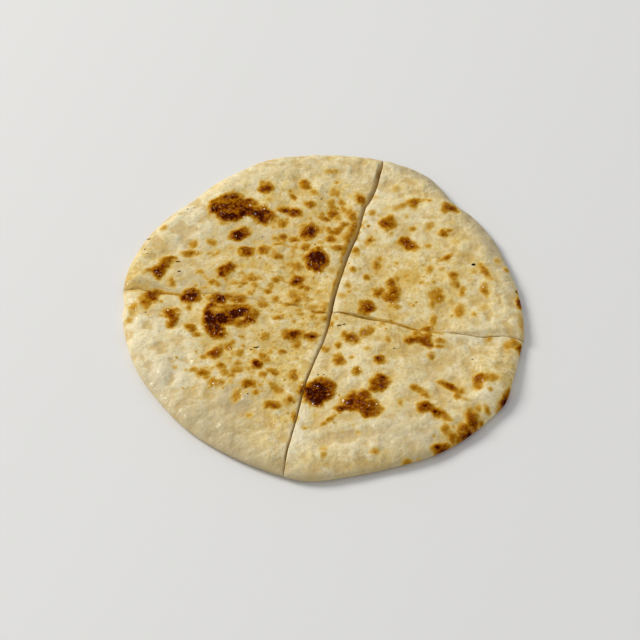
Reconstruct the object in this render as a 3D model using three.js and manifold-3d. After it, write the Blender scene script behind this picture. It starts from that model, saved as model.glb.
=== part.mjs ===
// Round flat naan bread, cut into four quarters that still lie together as the whole round.
// Millimetres, +Z up. The bread lies on Z = 0, and the origin is the middle of its footprint.
// +Y is the back, where the long cut leans to the right.

import * as THREE from 'three';
import { mergeVertices } from 'three/addons/utils/BufferGeometryUtils.js';
import Module from 'manifold-3d';

// ---- Driving dimensions ----

const CRUMB_THICKNESS = 6.8;      // of the flat middle of the bread
const DEGREE = Math.PI / 180;

// The uneven round of the rim: its radius every 12 degrees, from +X towards +Y.
const RIM_STEP = 12;
const RIM_RADII = [
  106.6, 105.0, 105.2, 105.8, 107.4, 112.6, 112.4, 112.2, 112.5, 111.8,
  108.8, 105.6, 106.9, 109.5, 108.5, 106.4, 105.2, 104.9, 104.3, 105.3,
  106.4, 108.7, 111.0, 110.4, 110.6, 113.0, 114.0, 113.9, 110.2, 108.7,
];
// Where the rim bulges out or was pinched in: bearing and half width in degrees, height.
const RIM_LUMPS = [
  [42, 4.5, -2.2],
  [54, 4, 1.0],
  [112, 5, -0.8],
  [158, 9, -1.7],
  [178, 3.5, -1.2],
  [266, 9, 1.4],
  [324, 4, 1.1],
];

// The rim's rounded edge, as a share of the thickness and as insets from the rim.
const NOSE_SHARE = 0.46;          // height of the widest line
const NOSE_OVER = 7.5;            // how far in the edge has rounded over to the top
const NOSE_UNDER = 3.4;           // how far in it meets the underside

// The puffed border inside the edge, and its lumps round the bread.
const PUFF_HEIGHT = 1.0;
const PUFF_INSET = 12;
const PUFF_WIDTH = 7;
const PUFF_LUMPS = [
  { count: 9, phase: 0.6, share: 0.35 },
  { count: 17, phase: 2.1, share: 0.2 },
];

// The slow rise and fall of the top: wavelength, bearing, phase and height.
const WAVES = [
  { length: 62, bearing: 20, phase: 0.4, height: 0.3 },
  { length: 41, bearing: 110, phase: 1.9, height: 0.25 },
  { length: 29, bearing: 65, phase: 3.1, height: 0.18 },
  { length: 23, bearing: 155, phase: 5.0, height: 0.12 },
];

// Blisters, folds and hollows: x, y, length, width, turn in degrees, height.
const BLISTERS = [
  [-48, 67, 24, 18, -10, 0.9],
  [-34, 64, 18, 12, -20, 0.8],
  [-43, 50, 11, 8, 40, 0.7],
  [-29, 83, 10, 8, 90, 0.6],
  [-8, 85, 9, 7, 90, 0.6],
  [-2, 27, 17, 12, 85, 0.9],
  [-5, 49, 12, 8, 90, 0.7],
  [-86, 25, 18, 7, 60, 0.6],
  [-51, 22, 10, 7, 40, 0.5],
  [-56, -11, 24, 16, 10, 0.9],
  [-40, -8, 16, 12, 15, 0.8],
  [-69, 2, 10, 9, 0, 0.6],
  [-91, 5, 14, 10, 90, 0.6],
  [-78, -8, 13, 8, 90, 0.6],
  [-15, -23, 11, 8, 0, 0.6],
  [-33, -42, 8, 7, 0, 0.5],
  [-88, -28, 18, 6, -60, 0.9],
  [-70, -64, 16, 10, -45, 0.6],
  [38, 54, 11, 8, 90, 0.6],
  [49, 39, 11, 7, -40, 0.6],
  [39, 5, 17, 7, 90, 0.7],
  [24, -5, 10, 9, 0, 0.6],
  [61, 0, 12, 8, 90, 0.5],
  [-2, -60, 16, 15, 0, 0.9],
  [19, -68, 20, 16, 0, 0.9],
  [29, -56, 11, 8, 90, 0.6],
  [51, -28, 15, 7, 0, 0.6],
  [56, -74, 16, 7, -35, 0.6],
  [83, -61, 14, 6, 60, 1.0],
  [74, -80, 9, 7, 90, 0.6],
  [12, -96, 14, 7, 0, 0.5],
  [-42, -70, 20, 10, 0, -0.9],
  [-30, -88, 26, 5, 5, -0.6],
  [-82, -38, 14, 5, -60, -0.6],
  [73, 64, 10, 8, 0, -0.7],
];

// Where a quarter alone has sunk or risen beside a cut, in the same form.
const SETTLING = {
  quarter_back_left: [[-100, 18, 26, 22, 0, 0.6]],
  quarter_back_right: [[92, -22, 30, 20, 0, 0.5]],
  quarter_front_left: [[-98, 8, 34, 22, 0, -2.2]],
  quarter_front_right: [[94, -30, 34, 16, 0, -1.4]],
};

// The cuts, as the edge of the pieces that lie at the right or at the back: x, y and the gap
// to the pieces opposite. The long cut runs from the back to the front through the hub.
const LONG_CUT_BACK = [
  [37.7, 103.5, 1.6], [37.0, 97, 2.2], [32.7, 80.5, 2.4], [28.9, 71.5, 2.6], [26.4, 67, 2.4],
  [21.7, 47.5, 2.4], [16.7, 33.5, 2.2], [11.7, 16.5, 2.2], [8.2, 2.5, 2.0], [6.1, -8.5, 1.8],
];
const LONG_CUT_FRONT = [
  [6.1, -8.5, 1.8], [2.7, -22.5, 1.2], [-4.3, -42.5, 1.0], [-9.3, -58.5, 0.8],
  [-12.3, -72.5, 0.7], [-16.3, -89.5, 0.7], [-19.5, -105.5, 0.7],
];
const LEFT_CUT = [
  [-105.3, 16.5, 3.2], [-90.3, 12.5, 2.4], [-80.3, 9.0, 1.2], [-65.3, 8.3, 0.9],
  [-45.3, 5, 0.6], [-20.3, -1, 0.5], [-5.3, -6, 0.5], [4.5, -9.2, 0.5],
];
const RIGHT_CUT = [
  [5.5, -8.4, 0.4], [12.7, -9.3, 0.6], [20.7, -10.6, 2.1], [31, -13.4, 1.6], [45, -18, 0.9],
  [59.7, -21.9, 0.7], [79.7, -25.2, 0.9], [96.7, -24.9, 1.6], [104.7, -25.9, 2.2],
];
const CUT_REACH = 20;             // how far a cutting line runs on past the rim
const CUT_STEPS = 18;             // straight steps along each cut

// Middle of the box round the finished outline, in the frame of all the points above.
const OUTLINE_MIDDLE = [0.2, 0.1];

const SEGMENTS = 100;             // round the bread
const TOP_RINGS = 21;
const NOSE_RINGS = 3;             // over the widest line, and as many under it

// ---- Shape of the bread ----

// Catmull-Rom value at share t between b and c, with a before them and d after them.
function curveBetween(a, b, c, d, t) {
  const bend = 2 * a - 5 * b + 4 * c - d + t * (3 * (b - c) + d - a);
  return b + 0.5 * t * (c - a + t * bend);
}

function rimRadius(bearing) {
  const degrees = ((bearing / DEGREE) % 360 + 360) % 360;
  const step = Math.floor(degrees / RIM_STEP);
  const [a, b, c, d] = [-1, 0, 1, 2].map(
    (offset) => RIM_RADII[(step + offset + RIM_RADII.length) % RIM_RADII.length]);
  let radius = curveBetween(a, b, c, d, degrees / RIM_STEP - step);
  for (const [middle, halfWidth, height] of RIM_LUMPS) {
    radius += height * Math.exp(-(((degrees - middle) / halfWidth) ** 2));
  }
  return radius;
}

// Height of one rounded lump at x, y: a bell whose length and width are those of its foot.
function lump([middleX, middleY, length, width, turn, height], x, y) {
  const along = Math.cos(turn * DEGREE) * (x - middleX) + Math.sin(turn * DEGREE) * (y - middleY);
  const across = Math.cos(turn * DEGREE) * (y - middleY) - Math.sin(turn * DEGREE) * (x - middleX);
  return height * Math.exp(-4 * ((along / length) ** 2 + (across / width) ** 2));
}

// Height of the top over the underside at x, y, before the edge rounds it off.
function topHeight(x, y, settling) {
  const bearing = Math.atan2(y, x);
  const inset = rimRadius(bearing) - Math.hypot(x, y);
  let puff = 1;
  for (const { count, phase, share } of PUFF_LUMPS) {
    puff += share * Math.sin(count * bearing + phase);
  }
  const border = Math.exp(-(((inset - PUFF_INSET) / PUFF_WIDTH) ** 2));
  let height = CRUMB_THICKNESS + PUFF_HEIGHT * puff * border;
  for (const wave of WAVES) {
    const run = x * Math.cos(wave.bearing * DEGREE) + y * Math.sin(wave.bearing * DEGREE);
    height += wave.height * Math.sin((2 * Math.PI * run) / wave.length + wave.phase);
  }
  for (const blister of [...BLISTERS, ...settling]) {
    height += lump(blister, x, y);
  }
  return height;
}

// Half of a round bread one unit wide and one high: x is the share of the rim's radius and
// y the share of the thickness, from the middle of the underside out and back over the top.
function breadProfile() {
  const meanRadius = RIM_RADII.reduce((sum, radius) => sum + radius) / RIM_RADII.length;
  const profile = [new THREE.Vector2(0, 0), new THREE.Vector2(0.5, 0)];
  for (let i = 0; i < NOSE_RINGS; i++) {
    const turn = (i / NOSE_RINGS) * 90 * DEGREE;
    const share = 1 - (NOSE_UNDER / meanRadius) * (1 - Math.sin(turn));
    profile.push(new THREE.Vector2(share, NOSE_SHARE * (1 - Math.cos(turn))));
  }
  for (let i = 0; i <= NOSE_RINGS; i++) {
    const turn = (i / NOSE_RINGS) * 90 * DEGREE;
    const share = 1 - (NOSE_OVER / meanRadius) * (1 - Math.cos(turn));
    profile.push(new THREE.Vector2(share, NOSE_SHARE + (1 - NOSE_SHARE) * Math.sin(turn)));
  }
  const topShare = 1 - NOSE_OVER / meanRadius;
  for (let ring = 1; ring <= TOP_RINGS; ring++) {
    profile.push(new THREE.Vector2(topShare * (1 - ring / TOP_RINGS), 1));
  }
  return profile;
}

function breadGeometry(settling) {
  const geometry = new THREE.LatheGeometry(breadProfile(), SEGMENTS).rotateX(90 * DEGREE);
  const position = geometry.attributes.position;
  for (let i = 0; i < position.count; i++) {
    const radius = rimRadius(Math.atan2(position.getY(i), position.getX(i)));
    const x = position.getX(i) * radius;
    const y = position.getY(i) * radius;
    position.setXYZ(i, x, y, position.getZ(i) * topHeight(x, y, settling));
  }
  return geometry;
}

// ---- Cuts ----

// The smooth line through a cut's points, moved over by `side` times its gap.
function cutLine(cut, side, acrossX) {
  const points = cut.map(([x, y, gap]) => new THREE.Vector2(
    x - (acrossX ? side * gap : 0),
    y - (acrossX ? 0 : side * gap),
  ));
  return new THREE.SplineCurve(points).getPoints(CUT_STEPS);
}

// The point CUT_REACH beyond `end`, straight on from `before`.
function beyond(before, end) {
  return end.clone().sub(before).setLength(CUT_REACH).add(end);
}

// Outline, seen from above, of the sector that one quarter is cut to. Both lines run from
// the hub to the rim; `corner` lies outside the bread between their ends.
function sectorShape(firstLine, secondLine, corner) {
  const firstEnd = beyond(firstLine.at(-2), firstLine.at(-1));
  const secondEnd = beyond(secondLine.at(-2), secondLine.at(-1));
  const meeting = crossing(firstLine, secondLine);
  return new THREE.Shape([
    meeting.point,
    ...firstLine.slice(meeting.first),
    firstEnd,
    new THREE.Vector2(...corner),
    secondEnd,
    ...secondLine.slice(meeting.second).reverse(),
  ]);
}

// Where two lines first cross, with the number of the next point on each.
function crossing(firstLine, secondLine) {
  for (let i = 1; i < firstLine.length; i++) {
    for (let j = 1; j < secondLine.length; j++) {
      const start = firstLine[i - 1];
      const run = firstLine[i].clone().sub(start);
      const otherRun = secondLine[j].clone().sub(secondLine[j - 1]);
      const apart = secondLine[j - 1].clone().sub(start);
      const along = apart.cross(otherRun) / run.cross(otherRun);
      const alongOther = apart.cross(run) / run.cross(otherRun);
      if (along >= 0 && along <= 1 && alongOther >= 0 && alongOther <= 1) {
        return { point: start.clone().addScaledVector(run, along), first: i, second: j };
      }
    }
  }
  throw new Error('two cuts do not meet');
}

const hubFirst = (cut) => [...cut].reverse();
const PAST_THE_HUB = [14, 0.5];   // how far a line runs on through the hub, and its gap there

// A cut that starts at the hub, with a point added on the far side of the hub.
function throughHub(cut) {
  const [[hubX, hubY], [nextX, nextY]] = cut;
  const [reach, gap] = PAST_THE_HUB;
  const back = -reach / Math.hypot(nextX - hubX, nextY - hubY);
  return [[hubX + back * (nextX - hubX), hubY + back * (nextY - hubY), gap], ...cut];
}

// ---- Solids ----

const wasm = await Module();
wasm.setup();

function solidFrom(geometry) {
  const bare = geometry.index ? geometry.toNonIndexed() : geometry.clone();
  bare.deleteAttribute('normal');
  bare.deleteAttribute('uv');
  const merged = mergeVertices(bare, 1e-4);
  const corners = merged.index.array;
  const triVerts = [];
  for (let i = 0; i < corners.length; i += 3) {
    const [a, b, c] = corners.slice(i, i + 3);
    if (a !== b && b !== c && c !== a) triVerts.push(a, b, c);
  }
  return new wasm.Manifold(new wasm.Mesh({
    numProp: 3,
    vertProperties: new Float32Array(merged.attributes.position.array),
    triVerts: new Uint32Array(triVerts),
  }));
}

function geometryFrom(solid) {
  const mesh = solid.getMesh();
  const geometry = new THREE.BufferGeometry();
  geometry.setAttribute('position', new THREE.BufferAttribute(mesh.vertProperties, 3));
  geometry.setIndex(new THREE.BufferAttribute(mesh.triVerts, 1));
  geometry.computeVertexNormals();
  return geometry;
}

function quarterMesh(name, shape, colour) {
  const below = 5;
  const sector = new THREE.ExtrudeGeometry(shape, { depth: 4 * CRUMB_THICKNESS, bevelEnabled: false });
  sector.translate(0, 0, -below);
  const solid = solidFrom(breadGeometry(SETTLING[name])).intersect(solidFrom(sector));
  const crust = new THREE.MeshStandardMaterial({ color: colour, roughness: 0.62, metalness: 0 });
  const mesh = new THREE.Mesh(geometryFrom(solid), crust);
  mesh.name = name;
  return mesh;
}

// ---- The four quarters ----

const backCut = hubFirst(LONG_CUT_BACK);
const leftCut = hubFirst(LEFT_CUT);
const OUTSIDE = 150;              // x and y of the sectors' outer corners

const bread = new THREE.Group();
bread.position.set(-OUTLINE_MIDDLE[0], -OUTLINE_MIDDLE[1], 0);
bread.add(
  quarterMesh(
    'quarter_back_left',
    sectorShape(
      cutLine(throughHub(backCut), 1, true),
      cutLine(throughHub(leftCut), 0, false),
      [-OUTSIDE, OUTSIDE],
    ),
    '#e3d3a4',
  ),
  quarterMesh(
    'quarter_back_right',
    sectorShape(
      cutLine(throughHub(backCut), 0, true),
      cutLine(throughHub(RIGHT_CUT), 0, false),
      [OUTSIDE, OUTSIDE],
    ),
    '#e0cf9f',
  ),
  quarterMesh(
    'quarter_front_left',
    sectorShape(
      cutLine(throughHub(LONG_CUT_FRONT), 1, true),
      cutLine(throughHub(leftCut), 1, false),
      [-OUTSIDE, -OUTSIDE],
    ),
    '#e4d5a9',
  ),
  quarterMesh(
    'quarter_front_right',
    sectorShape(
      cutLine(throughHub(LONG_CUT_FRONT), 0, true),
      cutLine(throughHub(RIGHT_CUT), 1, false),
      [OUTSIDE, -OUTSIDE],
    ),
    '#e2d1a2',
  ),
);

export default bread;
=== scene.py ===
"""Naan bread cut into four quarters: the baked surface, its browned blisters and the studio.

The bread's form is worked out from the same named sizes as the part's source, in millimetres,
and each quarter is a fine surface over its own CAD solid, with the creases, bubbles and browning
that the solid leaves out.
"""

import math

import bpy
import numpy as np
from mathutils import Matrix, Vector


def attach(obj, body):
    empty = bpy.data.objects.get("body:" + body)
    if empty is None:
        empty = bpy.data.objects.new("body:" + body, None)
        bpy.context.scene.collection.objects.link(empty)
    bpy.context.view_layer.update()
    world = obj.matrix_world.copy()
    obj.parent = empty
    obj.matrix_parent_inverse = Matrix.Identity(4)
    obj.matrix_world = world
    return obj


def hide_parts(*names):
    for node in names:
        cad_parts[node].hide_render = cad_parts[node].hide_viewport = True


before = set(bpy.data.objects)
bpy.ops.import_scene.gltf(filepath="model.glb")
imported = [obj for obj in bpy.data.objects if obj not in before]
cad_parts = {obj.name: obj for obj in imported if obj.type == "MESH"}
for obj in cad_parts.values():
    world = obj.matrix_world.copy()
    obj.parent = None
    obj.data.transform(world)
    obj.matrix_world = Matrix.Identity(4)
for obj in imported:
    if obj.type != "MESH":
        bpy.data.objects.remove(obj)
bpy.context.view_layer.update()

bl_info = {
    "name": "Naan Bread",
    "version": (1, 0, 0),
    "blender": (4, 5, 0),
    "location": "View3D > Sidebar > Naan",
    "description": "Builds a naan bread cut into quarters, with its browned surface",
    "category": "Add Mesh",
}

MM = 0.001

# ---- The bread's form, in millimetres, as in the part's source ----

CRUMB_THICKNESS = 6.8               # of the flat middle of the bread
OUTLINE_MIDDLE = np.array([0.2, 0.1])     # of the footprint, which is moved to the origin

RIM_STEP = 12                       # degrees between the rim's radii, from +X towards +Y
RIM_RADII = np.array([
    106.6, 105.0, 105.2, 105.8, 107.4, 112.6, 112.4, 112.2, 112.5, 111.8,
    108.8, 105.6, 106.9, 109.5, 108.5, 106.4, 105.2, 104.9, 104.3, 105.3,
    106.4, 108.7, 111.0, 110.4, 110.6, 113.0, 114.0, 113.9, 110.2, 108.7,
])
# Where the rim bulges out or was pinched in: bearing and half width in degrees, height.
RIM_LUMPS = (
    (42, 4.5, -2.2), (54, 4, 1.0), (112, 5, -0.8), (158, 9, -1.7), (178, 3.5, -1.2), (266, 9, 1.4),
    (324, 4, 1.1),
)

# The rim's rounded edge.
NOSE_SHARE = 0.46                   # height of the widest line, as a share of the thickness
NOSE_OVER = 7.5                     # how far in the edge has rounded over to the top
NOSE_UNDER = 3.4                    # how far in it meets the underside

# The puffed border inside the edge, and its lumps: count round the bread, phase, share.
PUFF_HEIGHT = 1.0
PUFF_INSET = 12
PUFF_WIDTH = 7
PUFF_LUMPS = ((9, 0.6, 0.35), (17, 2.1, 0.2))

# The slow rise and fall of the top: wavelength, bearing, phase, height.
WAVES = ((62, 20, 0.4, 0.3), (41, 110, 1.9, 0.25), (29, 65, 3.1, 0.18), (23, 155, 5.0, 0.12))

# Blisters, folds and hollows: x, y, length, width, turn in degrees, height.
BLISTERS = (
    (-48, 67, 24, 18, -10, 0.9), (-34, 64, 18, 12, -20, 0.8), (-43, 50, 11, 8, 40, 0.7),
    (-29, 83, 10, 8, 90, 0.6), (-8, 85, 9, 7, 90, 0.6), (-2, 27, 17, 12, 85, 0.9),
    (-5, 49, 12, 8, 90, 0.7), (-86, 25, 18, 7, 60, 0.6), (-51, 22, 10, 7, 40, 0.5),
    (-56, -11, 24, 16, 10, 0.9), (-40, -8, 16, 12, 15, 0.8), (-69, 2, 10, 9, 0, 0.6),
    (-91, 5, 14, 10, 90, 0.6), (-78, -8, 13, 8, 90, 0.6), (-15, -23, 11, 8, 0, 0.6),
    (-33, -42, 8, 7, 0, 0.5), (-88, -28, 18, 6, -60, 0.9), (-70, -64, 16, 10, -45, 0.6),
    (38, 54, 11, 8, 90, 0.6), (49, 39, 11, 7, -40, 0.6), (39, 5, 17, 7, 90, 0.7),
    (24, -5, 10, 9, 0, 0.6), (61, 0, 12, 8, 90, 0.5), (-2, -60, 16, 15, 0, 0.9),
    (19, -68, 20, 16, 0, 0.9), (29, -56, 11, 8, 90, 0.6), (51, -28, 15, 7, 0, 0.6),
    (56, -74, 16, 7, -35, 0.6), (83, -61, 14, 6, 60, 1.0), (74, -80, 9, 7, 90, 0.6),
    (12, -96, 14, 7, 0, 0.5), (-42, -70, 20, 10, 0, -0.9), (-30, -88, 26, 5, 5, -0.6),
    (-82, -38, 14, 5, -60, -0.6), (73, 64, 10, 8, 0, -0.7),
)
# Where a quarter alone has sunk or risen beside a cut, in the same form.
SETTLING = {
    "quarter_back_left": ((-100, 18, 26, 22, 0, 0.6),),
    "quarter_back_right": ((92, -22, 30, 20, 0, 0.5),),
    "quarter_front_left": ((-98, 8, 34, 22, 0, -2.2),),
    "quarter_front_right": ((94, -30, 34, 16, 0, -1.4),),
}

# The cuts, from the rim or the back: x, y and the gap to the pieces opposite.
LONG_CUT_BACK = (
    (37.7, 103.5, 1.6), (37.0, 97, 2.2), (32.7, 80.5, 2.4), (28.9, 71.5, 2.6), (26.4, 67, 2.4),
    (21.7, 47.5, 2.4), (16.7, 33.5, 2.2), (11.7, 16.5, 2.2), (8.2, 2.5, 2.0), (6.1, -8.5, 1.8),
)
LONG_CUT_FRONT = (
    (6.1, -8.5, 1.8), (2.7, -22.5, 1.2), (-4.3, -42.5, 1.0), (-9.3, -58.5, 0.8),
    (-12.3, -72.5, 0.7), (-16.3, -89.5, 0.7), (-19.5, -105.5, 0.7),
)
LEFT_CUT = (
    (-105.3, 16.5, 3.2), (-90.3, 12.5, 2.4), (-80.3, 9.0, 1.2), (-65.3, 8.3, 0.9),
    (-45.3, 5, 0.6), (-20.3, -1, 0.5), (-5.3, -6, 0.5), (4.5, -9.2, 0.5),
)
RIGHT_CUT = (
    (5.5, -8.4, 0.4), (12.7, -9.3, 0.6), (20.7, -10.6, 2.1), (31, -13.4, 1.6), (45, -18, 0.9),
    (59.7, -21.9, 0.7), (79.7, -25.2, 0.9), (96.7, -24.9, 1.6), (104.7, -25.9, 2.2),
)
PAST_THE_HUB = 14                   # how far before the hub a cut's line starts
GAP_PAST_THE_HUB = 0.5              # at that start
CUT_REACH = 20                      # how far the line runs on past the rim
CUT_POINTS = 600                    # along the smooth line

# ---- Edges and walls of the cuts, in millimetres ----

# The two cuts of a quarter, which are also the axes across them: x for the long, y for the side cut.
LONG, SIDE = 0, 1

# Per quarter, its long cut and its side cut: the line from the hub outwards, and the side of it on
# which the quarter lies. Side 0 keeps the cut's own line, and side 1 stands back from it by the gap.
QUARTERS = {
    "quarter_back_left": ((LONG_CUT_BACK[::-1], 1), (LEFT_CUT[::-1], 0)),
    "quarter_back_right": ((LONG_CUT_BACK[::-1], 0), (RIGHT_CUT, 0)),
    "quarter_front_left": ((LONG_CUT_FRONT, 1), (LEFT_CUT[::-1], 1)),
    "quarter_front_right": ((LONG_CUT_FRONT, 0), (RIGHT_CUT, 1)),
}
# The side of a cut whose edge droops into the gap, so that the left quarters droop into the long cut
# and the back quarters into the side cuts. The other edges stay crisp.
DROOPING_SIDE = (1, 0)
CRISP_EDGE = 0.35                   # width and depth of the rounding along a crisp edge

# A drooping edge along a long cut and along a side cut: each value at no gap, and what is added to
# it for each millimetre of gap.
DROOP_WIDTH = ((0.6, 0.0), (0.4, 0.2))
DROOP_DEPTH = ((0.5, 0.4), (0.1, 0.2))
# The crumb's colour is a painted shade, so this share also paints the drooping edge in the shade of the
# gap.
DROOP_CRUMB_SHADE = ((0.85, 0.0), (0.0, 0.35))     # share of crumb that shows at the edge
DROOP_POWER = 1.6                   # above 1, so that the droop is steepest at the edge

# The slight slope of the dough towards every cut, with its depth at a long cut and at a side cut.
ROLL_WIDTH = 3.2
ROLL_DEPTH = (0.5, 0.3)

# A drooping quarter's wall leans out until only the least gap is left. It starts at a share of the
# thickness and ends after another: at a long cut one for the rim and one well inside it, and at a
# side cut one for a narrow gap and one for a gap that is a millimetre wider.
LEAST_GAP = 0.06
LEAN_START = 0.04
LEAN_DEPTH = ((0.1, 0.29), (0.06, 0.25))
LEAN_BORDER = 25                    # from the rim to well inside it
NARROW_GAP = 1                      # up to which a gap counts as narrow
LEAN_WAY = (1, -1)                  # towards +x at the long cut, and towards -y at a side cut
LEAN_REACH = 7                      # how far from the cut the wall still moves the underside

# Where the quarter opposite has settled lower, a drooping edge sinks after it by a share of the step,
# over a width of so many times the step, and its stretched wall keeps a share of its crust.
OPPOSITE = {"quarter_back_left": "quarter_front_left", "quarter_back_right": "quarter_front_right"}
SINK_SHARE = 0.7
SINK_WIDTH = 2.2
STRETCHED_CRUST = 0.6

# ---- Browning, with a few painted shadows along the cuts, in millimetres from SPOT_ORIGIN: x, y, length, width, turn, darkness ----

SPOT_ORIGIN = (-0.3, -2.5)

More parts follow.
